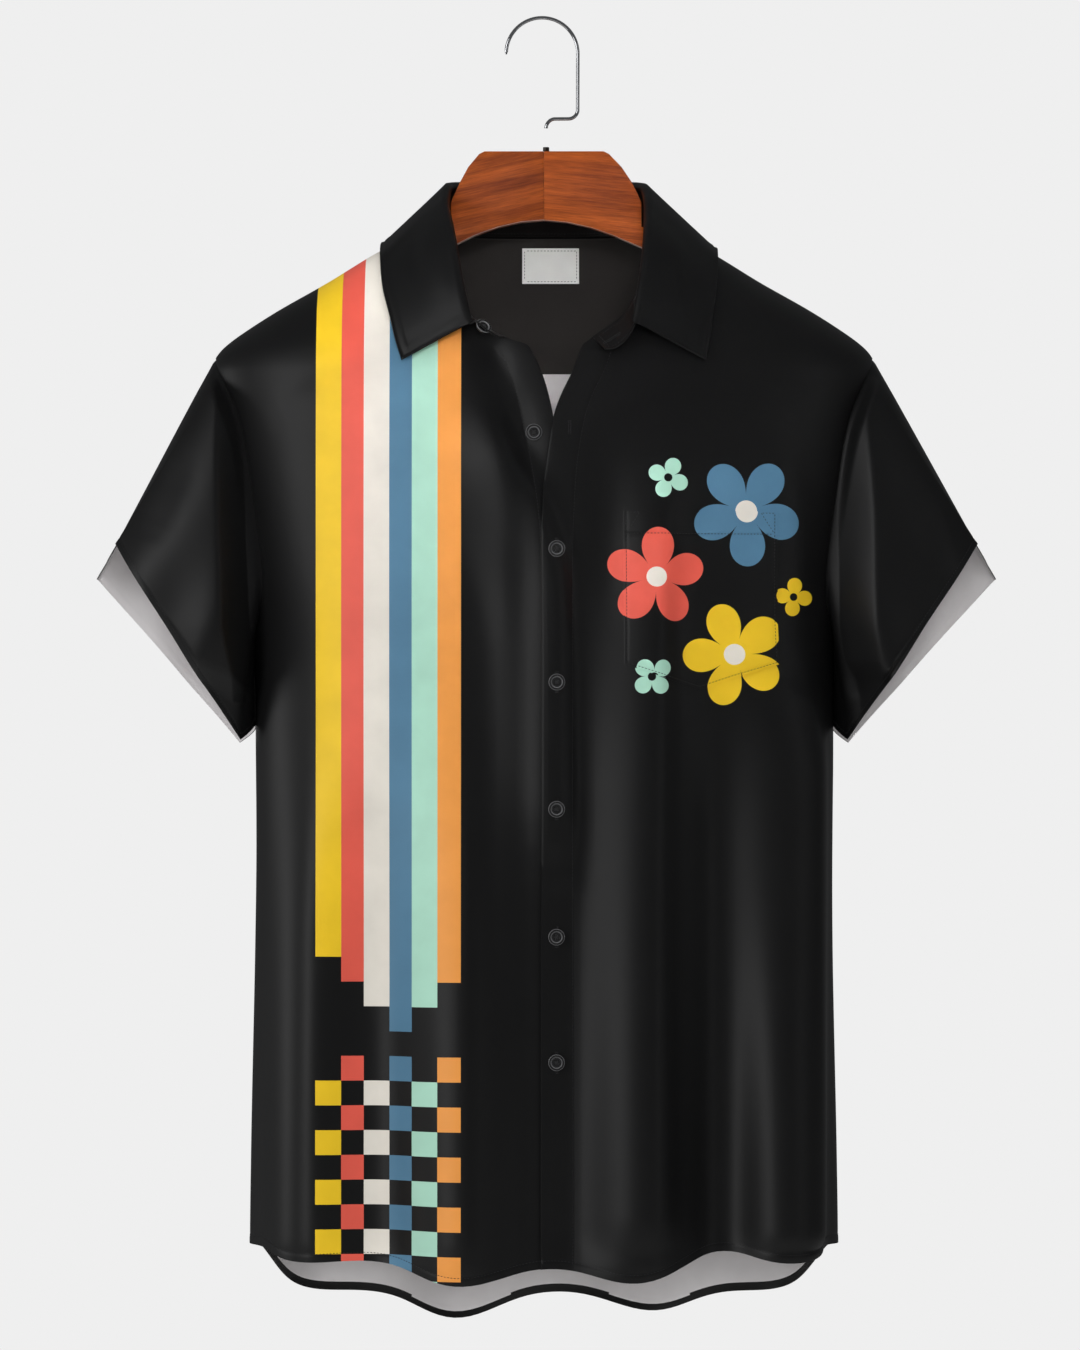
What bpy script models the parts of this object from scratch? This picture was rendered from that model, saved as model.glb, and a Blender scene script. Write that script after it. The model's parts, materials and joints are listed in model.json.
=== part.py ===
"""A short-sleeved shirt on a wooden hanger.

Metres, +Z up, front towards -Y, the wearer's left at +X. The origin is where the hook hangs.
The body is one round surface, given by an angle (0 at the front, 90 at the left side seam, 180 at
the back) and a height. Every panel is a wall on a stretch of that surface, up to its own seams.
"""

import math
from collections import namedtuple

import bmesh
import bpy
from mathutils import Matrix, Vector

CLOTH = 0.0014
SEAM = 0.0003
LIE = 0.0005

SHOULDER_TIP_Z = -0.251
ARMPIT_Z = -0.459
NECK_Z = -0.149
BACK_NECK_Z = -0.158
HEM_SIDE_Z = -0.902
FRONT_TAIL = 0.010
BACK_TAIL = 0.045
YOKE_SEAM_Z = -0.258
FULLNESS = 0.10

# Half width, front depth and back depth of the body at each height.
BodyRow = namedtuple("BodyRow", "z half_width front back")
BODY = (
    BodyRow(-0.990, 0.213, 0.104, 0.100),
    BodyRow(-0.850, 0.212, 0.103, 0.097),
    BodyRow(-0.700, 0.212, 0.103, 0.094),
    BodyRow(-0.560, 0.213, 0.105, 0.094),
    BodyRow(-0.459, 0.216, 0.106, 0.097),
    BodyRow(-0.360, 0.230, 0.103, 0.098),
    BodyRow(-0.300, 0.2395, 0.097, 0.097),
    BodyRow(-0.272, 0.2455, 0.092, 0.095),
    BodyRow(-0.260, 0.2460, 0.090, 0.094),
    BodyRow(-0.251, 0.2430, 0.088, 0.092),
    BodyRow(-0.243, 0.2365, 0.086, 0.090),
    BodyRow(-0.233, 0.2235, 0.083, 0.088),
    BodyRow(-0.216, 0.1970, 0.077, 0.084),
    BodyRow(-0.195, 0.160, 0.068, 0.076),
    BodyRow(-0.172, 0.122, 0.059, 0.067),
    BodyRow(-0.149, 0.076, 0.049, 0.056),
    BodyRow(-0.140, 0.054, 0.044, 0.050),
)

# Soft upright folds: where round the body, how wide, how deep at the hem, where each starts, and
# how far it lowers the hem.
BodyFold = namedtuple("BodyFold", "angle width depth top dip")
BODY_FOLDS = (
    BodyFold(-51, 14, 0.011, -0.52, 0.006),
    BodyFold(-15, 11, 0.012, -0.56, 0.016),
    BodyFold(16, 10, 0.011, -0.50, 0.014),
    BodyFold(36, 8, -0.003, -0.60, -0.005),
    BodyFold(51, 10, 0.010, -0.60, 0.007),
    BodyFold(86, 12, 0.005, -0.62, 0.002),
    BodyFold(129, 12, 0.010, -0.50, 0.004),
    BodyFold(160, 11, 0.010, -0.58, 0.018),
    BodyFold(196, 11, 0.012, -0.54, 0.024),
    BodyFold(232, 12, 0.010, -0.60, 0.004),
    BodyFold(276, 12, 0.005, -0.60, 0.002),
)

# The open edge of each front: the neck curve down to its corner, then the V and the straight edge.
EdgeRow = namedtuple("EdgeRow", "z left right")
FRONT_EDGE = (
    EdgeRow(-0.980, -0.0025, 0.0210),
    EdgeRow(-0.400, -0.0025, 0.0210),
    EdgeRow(-0.368, -0.0015, 0.0190),
    EdgeRow(-0.333, 0.0007, 0.0140),
    EdgeRow(-0.298, 0.0065, 0.0070),
    EdgeRow(-0.281, 0.0123, 0.0035),
    EdgeRow(-0.264, 0.0205, -0.0020),
    EdgeRow(-0.245, 0.0280, -0.0120),
    EdgeRow(-0.241, 0.0330, -0.0230),
    EdgeRow(-0.236, 0.0390, -0.0340),
    EdgeRow(-0.230, 0.0480, -0.0450),
    EdgeRow(-0.223, 0.0570, -0.0530),
    EdgeRow(-0.214, 0.0630, -0.0590),
    EdgeRow(-0.202, 0.0680, -0.0650),
    EdgeRow(-0.190, 0.0710, -0.0690),
    EdgeRow(-0.176, 0.0740, -0.0725),
    EdgeRow(-0.162, 0.0755, -0.0750),
    EdgeRow(-0.154, 0.0760, -0.0758),
    EdgeRow(-0.1495, 0.0760, -0.0760),
)
FRONT_CORNER_Z = -0.245

ARMHOLE_STEPS = 12
ARMHOLE_FRONT = 24
ARMHOLE_BACK = 27
BELOW_ARM_ROWS = 10
FRONT_COLUMNS = 16
BACK_COLUMNS = 28
YOKE_EDGE_Z = (-0.149, -0.168, -0.190, -0.210, -0.226, -0.240, -0.251)
UNDERLAP_DEPTH = 0.0030
UNDERLAP_START = -0.032
UNDERLAP_EASE = 0.020
UNDERLAP_DROP = 0.040

# The sleeve's opening: its outer tip, its inner corner and how far it bellies out.
CUFF_TIP = Vector((0.3285, 0.0, -0.4030))
CUFF_INNER = Vector((0.2195, 0.0, -0.5270))
CUFF_HALF_DEPTH = 0.050
CUFF_BACK_DROP = 0.024
SLEEVE_ROWS = 7
SLEEVE_BELLY = 0.007
SLEEVE_CLEAR = 0.0030
SLEEVE_BEND_GAP = 0.0006
SleeveFold = namedtuple("SleeveFold", "angle width depth start")
SLEEVE_FOLDS = (
    SleeveFold(104, 15, 0.007, 0.15),
    SleeveFold(58, 18, 0.004, 0.40),
    SleeveFold(256, 15, 0.006, 0.20),
    SleeveFold(304, 18, 0.004, 0.45),
)

# The collar from the middle of the back to the front: the place on the neck seam (angle at the
# back, height at the front), the top of the stand, and the leaf's outer edge on each side.
CollarRow = namedtuple(
    "CollarRow", "seam top_left top_right top_y top_z edge_left edge_right edge_side edge_z"
)
COLLAR = (
    CollarRow(180, 0.000, 0.000, 0.062, -0.121, 0.000, 0.000, 1, -0.171),
    CollarRow(163, 0.021, 0.021, 0.060, -0.121, 0.028, 0.028, 1, -0.171),
    CollarRow(146, 0.042, 0.042, 0.051, -0.1215, 0.058, 0.058, 1, -0.172),
    CollarRow(125, 0.060, 0.060, 0.034, -0.123, 0.090, 0.088, 1, -0.173),
    CollarRow(106, 0.070, 0.069, 0.014, -0.125, 0.112, 0.107, 1, -0.173),
    CollarRow(90, 0.0740, 0.0712, -0.004, -0.1275, 0.1240, 0.1170, 0, -0.171),
    CollarRow(-0.1515, 0.0755, 0.0720, -0.020, -0.1345, 0.1256, 0.1185, -1, -0.179),
    CollarRow(-0.162, 0.0760, 0.0720, -0.037, -0.144, 0.1255, 0.1183, -1, -0.190),
    CollarRow(-0.176, 0.0750, 0.0680, -0.062, -0.164, 0.1245, 0.1165, -1, -0.206),
    CollarRow(-0.190, 0.0730, 0.0640, -0.077, -0.185, 0.1220, 0.1120, -1, -0.224),
    CollarRow(-0.202, 0.0700, 0.0600, -0.088, -0.206, 0.1200, 0.1080, -1, -0.241),
    CollarRow(-0.214, 0.0660, 0.0545, -0.095, -0.228, 0.1170, 0.1030, -1, -0.257),
)
COLLAR_BETWEEN = 2
# Past the leaf, the stand's left end lies turned out and its right end juts forward.
StandEnd = namedtuple("StandEnd", "seam top_left left_z top_right right_z top_y")
STAND_END = (
    StandEnd(-0.225, 0.0600, -0.2400, 0.0495, -0.2275, -0.098),
    StandEnd(-0.233, 0.0520, -0.2470, 0.0420, -0.2335, -0.099),
    StandEnd(-0.239, 0.0440, -0.2480, 0.0330, -0.2390, -0.098),
)
STAND_ROWS = 3
STAND_LIFT = 0.0008
# Across the collar's fold: how far out and how far up from the top of the stand.
FoldStep = namedtuple("FoldStep", "out up")
COLLAR_ROLL = (
    FoldStep(-0.0015, 0.0004),
    FoldStep(-0.0013, 0.0022),
    FoldStep(0.0004, 0.0036),
    FoldStep(0.0026, 0.0032),
)
LEAF_STEPS = 4
LEAF_CLEAR = 0.0030

POCKET_LEFT = 0.057
POCKET_RIGHT = 0.169
POCKET_TOP = -0.366
POCKET_SIDE = -0.477
POCKET_POINT = -0.496
POCKET_COLUMNS = 8
POCKET_ROWS = 5

LABEL_WIDTH = 0.043
LABEL_THICK = 0.0008
LABEL_COLUMNS = 4
LABEL_X = 0.005
LABEL_TOP = -0.164
LABEL_BOTTOM = -0.190

BUTTON_RADIUS = 0.006
BUTTON_THICK = 0.0024
BUTTON_HOLE = 0.0008
BUTTON_HOLE_AT = 0.0014
ROUND_SIDES = 14
MERGE = 0.00001
BUTTON_X = 0.0090
BUTTON_HEIGHTS = (-0.394, -0.490, -0.582, -0.675, -0.766)
OPEN_BUTTON = (-0.0075, -0.308)
STAND_BUTTON_ROW = 1
STAND_BUTTON_COLUMN = 3

HANGER_THICK = 0.014
HANGER_EDGE = 0.0020
HANGER_TOP = -0.098
HANGER_TOP_HALF = 0.048
HANGER_NECK_HALF = 0.0690
HANGER_NECK_Z = -0.136
HANGER_ARCH_Z = -0.149
HANGER_ARM_Z = -0.169
HANGER_REACH = 0.226
HANGER_TIP_HEIGHT = 0.018
HANGER_ARM_HEIGHT = 0.036
HANGER_ELBOW_X = 0.150
HANGER_UNDER_ARM = (0.100, -0.193)
HANGER_ARM_X = (0.076, 0.082, 0.100, 0.122, 0.150, 0.180, 0.206, 0.222)
HANGER_FLANK_STEPS = (0.3, 0.6, 0.85, 1.0)
HANGER_ARCH_STEPS = (0.75, 0.5, 0.25, 0.0)
HANGER_UNDER_CLOTH = 0.0050

WIRE = 0.0013
HOOK_RADIUS = 0.0265
HOOK_MIDDLE_X = -0.0015
HOOK_FOOT_Z = -0.0735
STEM_X = 0.0015
BEND = 0.007
FERRULE_RADIUS = 0.0032
FERRULE_HEIGHT = 0.004


def clear_scene():
    for item in list(bpy.data.objects):
        bpy.data.objects.remove(item, do_unlink=True)


def collection(name):
    found = bpy.data.collections.new(name)
    bpy.context.scene.collection.children.link(found)
    return found


def material(name, colour, roughness, metallic=0.0):
    made = bpy.data.materials.new(name)
    made.use_nodes = True
    shader = made.node_tree.nodes["Principled BSDF"]
    shader.inputs["Base Color"].default_value = (*colour, 1.0)
    shader.inputs["Roughness"].default_value = roughness
    shader.inputs["Metallic"].default_value = metallic
    return made


def add_mesh(name, mesh, group, finish):
    item = bpy.data.objects.new(name, mesh)
    mesh.materials.clear()
    mesh.materials.append(finish)
    group.objects.link(item)
    return item


def read_table(rows, key, value, at):
    """A smooth curve through one column of a table whose rows rise in their key column."""
    keys = [getattr(row, key) for row in rows]
    values = [getattr(row, value) for row in rows]
    if at <= keys[0]:
        return values[0]
    if at >= keys[-1]:
        return values[-1]
    after = next(i for i, found in enumerate(keys) if found > at)
    before = after - 1
    span = keys[after] - keys[before]
    t = (at - keys[before]) / span

    def slope(i):
        low, high = max(i - 1, 0), min(i + 1, len(keys) - 1)
        return (values[high] - values[low]) / (keys[high] - keys[low])

    start, end = values[before], values[after]
    rise = end - start
    m0, m1 = slope(before) * span, slope(after) * span
    if rise * m0 <= 0 or rise * m1 <= 0:
        m0 = m0 if rise * m0 > 0 else 0.0
        m1 = m1 if rise * m1 > 0 else 0.0
    m0 = math.copysign(min(abs(m0), 3 * abs(rise)), m0)
    m1 = math.copysign(min(abs(m1), 3 * abs(rise)), m1)
    return (
        (2 * t**3 - 3 * t**2 + 1) * start
        + (t**3 - 2 * t**2 + t) * m0
        + (3 * t**2 - 2 * t**3) * end
        + (t**3 - t**2) * m1
    )


def ease(value):
    t = min(max(value, 0.0), 1.0)
    return t * t * (3 - 2 * t)


def turn_between(angle, other):
    return (angle - other + 180) % 360 - 180


def fold_push(angle, z):
    """How far the folds push the cloth out."""
    push = 0.0
    for fold in BODY_FOLDS:
        if z < fold.top:
            ramp = ease((fold.top - z) / (fold.top - HEM_SIDE_Z))
            push += fold.depth * ramp * math.exp(-((turn_between(angle, fold.angle) / fold.width) ** 2))
    return push


def fold_dip(angle):
    return sum(
        fold.dip * math.exp(-((turn_between(angle, fold.angle) / fold.width) ** 2))
        for fold in BODY_FOLDS
    )


def on_body(angle, z):
    """The outer face of the cloth at an angle in degrees and a height."""
    half = read_table(BODY, "z", "half_width", z)
    sine, cosine = math.sin(math.radians(angle)), math.cos(math.radians(angle))
    depth = read_table(BODY, "z", "front" if cosine > 0 else "back", z)
    x = half * sine * (1 + FULLNESS * cosine**2)
    y = -depth * cosine * (1 + FULLNESS * sine**2)
    outward = Vector((x / half**2, y / depth**2, 0.0)).normalized()
    return Vector((x, y, z)) + outward * fold_push(angle, z)


def body_normal(angle, z):
    step = 0.5
    drop = 0.0008
    across = on_body(angle + step, z) - on_body(angle - step, z)
    up = on_body(angle, z + drop) - on_body(angle, z - drop)
    return across.cross(up).normalized()


def angle_at(x, z):
    """The angle in front, from -90 to 90, where the body is x from its middle."""
    low, high = -90.0, 90.0
    for _ in range(30):
        middle = (low + high) / 2
        if on_body(middle, z).x < x:
            low = middle
        else:
            high = middle
    return (low + high) / 2


def seam_turn(z, depth_column):
    """Half a seam's gap at a side, as an angle."""
    return math.degrees(SEAM / 2 / read_table(BODY, "z", depth_column, z))


def armhole_turn(z, widest):
    if z >= SHOULDER_TIP_Z or z <= ARMPIT_Z:
        return 0.0
    along = (SHOULDER_TIP_Z - z) / (SHOULDER_TIP_Z - ARMPIT_Z)
    return widest * math.sqrt(1 - abs(2 * along - 1) ** 4)


def front_side_angle(z):
    return 90 - armhole_turn(z, ARMHOLE_FRONT) - seam_turn(z, "front")


def back_side_angle(z):
    return 90 + armhole_turn(z, ARMHOLE_BACK) + seam_turn(z, "back")


def hem_z(angle):
    """The height of the hem: nearly level in front, a deep shirt tail behind."""
    side = abs(math.sin(math.radians(angle)))
    if math.cos(math.radians(angle)) > 0:
        return HEM_SIDE_Z - FRONT_TAIL * (1 - side**2) - fold_dip(angle)
    return HEM_SIDE_Z - BACK_TAIL * (1 - side**8) - fold_dip(angle)


def armhole_heights():
    drop = SHOULDER_TIP_Z - ARMPIT_Z
    return [
        SHOULDER_TIP_Z - drop * (1 - math.cos(math.pi * i / ARMHOLE_STEPS)) / 2
        for i in range(ARMHOLE_STEPS + 1)
    ]


def grid_faces(rows, columns, closed, offset, turned):
    faces = []
    for r in range(rows - 1):
        for c in range(columns if closed else columns - 1):
            d = (c + 1) % columns
            a, b = offset + r * columns + c, offset + r * columns + d
            e, f = b + columns, a + columns
            for face in ((a, b, e), (a, e, f)):
                faces.append(face[::-1] if turned else face)
    return faces


def wall(name, outer, inner, group, finish, closed=False):
    """A closed wall between two grids of points, whose rows go down and columns go round."""
    rows, columns = len(outer), len(outer[0])
    count = rows * columns
    points = [p for row in outer for p in row] + [p for row in inner for p in row]
    faces = grid_faces(rows, columns, closed, 0, True) + grid_faces(rows, columns, closed, count, False)
    for c in range(columns if closed else columns - 1):
        d = (c + 1) % columns
        faces.append([c, d, count + d, count + c])
        low = (rows - 1) * columns
        faces.append([low + d, low + c, count + low + c, count + low + d])
    if not closed:
        for r in range(rows - 1):
            a, b = r * columns, (r + 1) * columns
            faces.append([b, a, count + a, count + b])
            a, b = a + columns - 1, b + columns - 1
            faces.append([a, b, count + b, count + a])
    mesh = bpy.data.meshes.new(name)
    mesh.from_pydata([tuple(p) for p in points], [], faces)
    tool = bmesh.new()
    tool.from_mesh(mesh)
    bmesh.ops.recalc_face_normals(tool, faces=tool.faces)
    tool.to_mesh(mesh)
    tool.free()
    mesh.shade_smooth()
    mesh.set_sharp_from_angle(angle=math.radians(50))
    return add_mesh(name, mesh, group, finish)


def skin(places, out, thick):
    """Outer and inner grids for places (angle, z) on the body, moved out."""
    outer, inner = [], []
    for row in places:
        outer.append([])
        inner.append([])
        for angle, z, extra in row:
            normal = body_normal(angle, z)
            point = on_body(angle, z)
            outer[-1].append(point + normal * (out + extra))
            inner[-1].append(point + normal * (out + extra - thick))
    return outer, inner


def front_rows():
    """Heights of a front's rows down to the armpit."""
    neck = [row.z for row in reversed(FRONT_EDGE) if row.z >= FRONT_CORNER_Z]
    return neck + armhole_heights()


def lap_push(x, z):
    """How far the right front's edge is moved in behind the left one."""
    inward = ease((x - UNDERLAP_START) / UNDERLAP_EASE)
    return -UNDERLAP_DEPTH * inward * ease((FRONT_CORNER_Z - z) / UNDERLAP_DROP)


def front_places(side):
    """Places of a front: side 1 is the left one, and -1 the right one."""
    edge_column = "left" if side > 0 else "right"
    places = []

    def place(row_z, hem_share):
        row = []
        for c in range(FRONT_COLUMNS + 1):
            share = c / FRONT_COLUMNS
            z = row_z
            for _ in range(3):
                edge = angle_at(read_table(FRONT_EDGE, "z", edge_column, z), z)
                far = side * front_side_angle(z)
                angle = edge + (far - edge) * share
                if hem_share is not None:
                    z = ARMPIT_Z + (hem_z(angle) - ARMPIT_Z) * hem_share
            push = lap_push(on_body(angle, z).x, z) if side < 0 else 0.0
            row.append((angle, z, push))
        return row if side > 0 else row[::-1]

    for z in front_rows():
        places.append(place(z, None))
    for r in range(1, BELOW_ARM_ROWS + 1):
        places.append(place(ARMPIT_Z, r / BELOW_ARM_ROWS))
    return places


def yoke_top_z(share):
    return BACK_NECK_Z + (NECK_Z - BACK_NECK_Z) * abs(2 * share - 1) ** 2.5


def yoke_seam_z(share):
    side_z = armhole_heights()[2]
    return YOKE_SEAM_Z + (side_z - YOKE_SEAM_Z) * (2 * share - 1) ** 2


def back_angle(share, z):
    start = back_side_angle(z)
    return start + (360 - 2 * start) * share


def yoke_places():
    tip_rows = armhole_heights()
    edge_heights = list(YOKE_EDGE_Z) + tip_rows[1:3]
    top, bottom = edge_heights[0], edge_heights[-1]
    places = []
    for edge_z in edge_heights:
        down = (top - edge_z) / (top - bottom)
        row = []
        for c in range(BACK_COLUMNS + 1):
            share = c / BACK_COLUMNS
            z = yoke_top_z(share) + (yoke_seam_z(share) + SEAM / 2 - yoke_top_z(share)) * down
            row.append((back_angle(share, z), z, 0.0))
        places.append(row)
    return places


def back_places():
    places = []
    side_heights = armhole_heights()[2:]
    for edge_z in side_heights:
        fade = (edge_z - ARMPIT_Z) / (side_heights[0] - ARMPIT_Z)
        row = []
        for c in range(BACK_COLUMNS + 1):
            share = c / BACK_COLUMNS
            z = edge_z + (yoke_seam_z(share) - side_heights[0]) * fade - SEAM / 2 * fade
            row.append((back_angle(share, z), z, 0.0))
        places.append(row)
    for r in range(1, BELOW_ARM_ROWS + 1):
        row = []
        for c in range(BACK_COLUMNS + 1):
            share = c / BACK_COLUMNS
            z = ARMPIT_Z
            for _ in range(2):
                angle = back_angle(share, z)
                z = ARMPIT_Z + (hem_z(angle) - ARMPIT_Z) * r / BELOW_ARM_ROWS
            row.append((angle, z, 0.0))
        places.append(row)
    return places


def armhole_ring():
    """Points round the left armhole with the body's normal and the way out of the panel there."""
    heights = armhole_heights()
    down = [(front_side_angle(z), z, 1) for z in heights]
    up = [(back_side_angle(z), z, -1) for z in reversed(heights[1:-1])]
    ring = []
    places = down + up
    for i, (angle, z, way) in enumerate(places):
        point = on_body(angle, z)
        normal = body_normal(angle, z)
        before = places[i - 1]
        after = places[(i + 1) % len(places)]
        along = on_body(after[0], after[1]) - on_body(before[0], before[1])
        out = normal.cross(along).normalized()
        ring.append((point, normal, out))
    return ring


def cuff_point(turn):
    """A point of the left cuff, at a turn from its outer tip over the front."""
    middle = (CUFF_TIP + CUFF_INNER) / 2
    half = (CUFF_TIP - CUFF_INNER) / 2
    way_out = Vector((-half.z, 0.0, half.x)).normalized()
    if way_out.z > 0:
        way_out = -way_out
    cosine, sine = math.cos(turn), math.sin(turn)
    depth = CUFF_HALF_DEPTH * sine * (1 + 0.25 * cosine)
    drop = CUFF_BACK_DROP * sine * ((1 + cosine) / 2) ** 2
    return middle + half * cosine + Vector((0.0, -depth, 0.0)) - way_out * drop


def sleeve_grids(side):
    ring = armhole_ring()
    count = len(ring)
    starts = []
    for i, (point, normal, out) in enumerate(ring):
        reach = (cuff_point(math.tau * i / count) - point).normalized()
        along_out = reach.dot(out)
        along_normal = max(reach.dot(normal), 0.0)
        bend = math.atan2(along_normal, along_out)
        lead = out * math.cos(bend / 2) + normal * math.sin(bend / 2)
        gap = SEAM + SLEEVE_BEND_GAP * bend / math.pi
        starts.append(point + lead * gap)
    rows = []
    for r in range(SLEEVE_ROWS + 1):
        along = r / SLEEVE_ROWS
        row = []
        for i in range(count):
            turn = math.tau * i / count
            point = starts[i].lerp(cuff_point(turn), along)
            belly = SLEEVE_BELLY * math.sin(math.pi * along) * math.sin(turn)
            under_arm = ease((0.2 - math.cos(turn)) / 1.0) * ease(along / 0.2)
            clear = ring[i][1] * SLEEVE_CLEAR * under_arm
            row.append(point + Vector((0.0, -belly, 0.0)) + clear)
        rows.append(row)
    shaped = fold_sleeve(rows, count)
    normals = grid_normals(shaped)
    inner = []
    for r, row in enumerate(shaped):
        inner.append([])
        for i, point in enumerate(row):
            normal = normals[r][i]
            if r == 0:
                out = ring[i][2]
                if normal.dot(out) > 0:
                    normal = (normal - out * normal.dot(out)).normalized()
            inner[-1].append(point - normal * CLOTH)
    if side < 0:
        shaped = [[Vector((-p.x, p.y, p.z)) for p in row] for row in shaped]
        inner = [[Vector((-p.x, p.y, p.z)) for p in row] for row in inner]
    return shaped, inner


def fold_sleeve(rows, count):
    normals = grid_normals(rows)
    folded = []
    for r, row in enumerate(rows):
        along = r / (len(rows) - 1)
        folded.append([])
        for i, point in enumerate(row):
            degrees = 360 * i / count
            push = sum(
                fold.depth
                * ease((along - fold.start) / (1 - fold.start))
                * math.exp(-((turn_between(degrees, fold.angle) / fold.width) ** 2))
                for fold in SLEEVE_FOLDS
            )
            folded[-1].append(point + normals[r][i] * push)
    return folded


def grid_normals(rows):
    """Normals of a tube of points, facing out of it."""
    count = len(rows[0])
    normals = []
    for r, row in enumerate(rows):
        above, below = rows[max(r - 1, 0)], rows[min(r + 1, len(rows) - 1)]
        normals.append([])
        for i in range(count):
            round_it = row[(i + 1) % count] - row[i - 1]
            down = below[i] - above[i]
            normals[-1].append(round_it.cross(down).normalized())
    return normals


def neck_seam(row, side):
    """A place of the neck seam: an angle behind, a height in front."""
    if row.seam > 0:
        angle = row.seam if side > 0 else 360 - row.seam
        share = (angle - 90) / 180
        z = yoke_top_z(share)
    else:
        z = row.seam
        column = "left" if side > 0 else "right"
        angle = angle_at(read_table(FRONT_EDGE, "z", column, z), z)
    return on_body(angle, z), body_normal(angle, z)


def collar_line():
    """The collar's rows from the right front round the back to the left front."""
    rows = []
    for side, table in ((-1, COLLAR[:0:-1]), (1, COLLAR)):
        rows += [(row, side) for row in table]
    return rows


def stand_row(row, side):
    seam, normal = neck_seam(row, side)
    top_x = row.top_left if side > 0 else -row.top_right
    if isinstance(row, StandEnd):
        top_z = row.left_z if side > 0 else row.right_z
    else:
        top_z = row.top_z
    return seam, normal, Vector((top_x, row.top_y, top_z))


def leaf_edge(row, side):
    x = row.edge_left if side > 0 else -row.edge_right
    z = row.edge_z
    if row.edge_side == 0:
        angle, z = 90 * side, shoulder_z(abs(x))
    elif row.edge_side > 0:
        angle = 180 - angle_behind(x, z)
    else:
        angle = angle_at(x, z)
    return on_body(angle, z) + body_normal(angle, z) * LEAF_CLEAR


def angle_behind(x, z):
    low, high = -90.0, 90.0
    for _ in range(30):
        middle = (low + high) / 2
        if on_body(180 - middle, z).x < x:
            low = middle
        else:
            high = middle
    return (low + high) / 2


def smooth_line(points, between):
    """Points on a smooth curve through these, with some more between each two."""
    line = []
    for i in range(len(points) - 1):
        before = points[max(i - 1, 0)]
        start, end = points[i], points[i + 1]
        after = points[min(i + 2, len(points) - 1)]
        for step in range(between):
            t = step / between
            line.append(
                0.5
                * (
                    2 * start
                    + (end - before) * t
                    + (2 * before - 5 * start + 4 * end - after) * t**2
                    + (3 * start - before - 3 * end + after) * t**3
                )
            )
    line.append(points[-1])
    return line


def collar_frames(seams, tops):
    """At each place of the stand, the way up and the way out from the neck."""
    frames = []
    for i, (seam, top) in enumerate(zip(seams, tops)):
        before, after = tops[max(i - 1, 0)], tops[min(i + 1, len(tops) - 1)]
        along = (after - before).normalized()
        up = (top - seam).normalized()
        frames.append((up, up.cross(along).normalized()))
    return frames


def make_collar(group, finish):
    rows = collar_line()
    ends = [(row, 1) for row in STAND_END]
    starts = [(row, -1) for row in reversed(STAND_END)]
    stand = [stand_row(row, side) for row, side in starts + rows + ends]
    seams = smooth_line([s + (t - s).normalized() * STAND_LIFT for s, _, t in stand], COLLAR_BETWEEN)
    tops = smooth_line([t for _, _, t in stand], COLLAR_BETWEEN)
    frames = collar_frames(seams, tops)
    outer, inner = [], []
    for r in range(STAND_ROWS + 1):
        share = r / STAND_ROWS
        line, back = [], []
        for seam, top, (up, out) in zip(seams, tops, frames):
            point = top.lerp(seam, share)
            line.append(point)
            back.append(point - out * CLOTH)
        outer.append(line)
        inner.append(back)
    wall("collar_stand", outer, inner, group, finish)

    skip = len(STAND_END) * COLLAR_BETWEEN
    leaf_tops, leaf_frames = tops[skip:-skip], frames[skip:-skip]
    edges = smooth_line([leaf_edge(row, side) for row, side in rows], COLLAR_BETWEEN)
    face, under = [], []
    for step in COLLAR_ROLL:
        face.append([t + out * step.out + up * step.up for t, (up, out) in zip(leaf_tops, leaf_frames)])
    last = COLLAR_ROLL[-1]
    for r in range(1, LEAF_STEPS + 1):
        share = r / LEAF_STEPS
        line = []
        for top, (up, out), edge in zip(leaf_tops, leaf_frames, edges):
            start = top + out * last.out + up * last.up
            line.append(start.lerp(edge, share))
        face.append(line)
    for r, row in enumerate(face):
        above, below = face[max(r - 1, 0)], face[min(r + 1, len(face) - 1)]
        line = []
        for i, point in enumerate(row):
            along = row[min(i + 1, len(row) - 1)] - row[max(i - 1, 0)]
            down = below[i] - above[i]
            up, out = leaf_frames[i]
            normal = down.cross(along).normalized()
            if r == 0:
                normal = -out
            line.append(point - normal * CLOTH)
        under.append(line)
    wall("collar_leaf", face, under, group, finish)
    return outer, inner


def make_pocket(group, finish):
    outer_places = []
    middle = (POCKET_LEFT + POCKET_RIGHT) / 2
    half = (POCKET_RIGHT - POCKET_LEFT) / 2
    for r in range(POCKET_ROWS + 1):
        row = []
        for c in range(POCKET_COLUMNS + 1):
            x = POCKET_LEFT + 2 * half * c / POCKET_COLUMNS
            low = POCKET_SIDE + (POCKET_POINT - POCKET_SIDE) * (1 - abs(x - middle) / half)
            z = POCKET_TOP + (low - POCKET_TOP) * r / POCKET_ROWS
            row.append((angle_at(x, z), z, 0.0))
        outer_places.append(row)
    outer, inner = skin(outer_places, LIE + CLOTH, CLOTH)
    wall("chest_pocket", outer, inner, group, finish)


def make_label(group, finish):
    places = []
    for z in (LABEL_TOP, (LABEL_TOP + LABEL_BOTTOM) / 2, LABEL_BOTTOM):
        row = []
        for c in range(LABEL_COLUMNS + 1):
            x = LABEL_X + LABEL_WIDTH * (0.5 - c / LABEL_COLUMNS)
            row.append((180 - angle_behind(x, z), z, 0.0))
        places.append(row)
    outer, inner = skin(places, -(2 * CLOTH + 2 * LIE), LABEL_THICK)
    wall("neck_label", outer, inner, group, finish)


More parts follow.
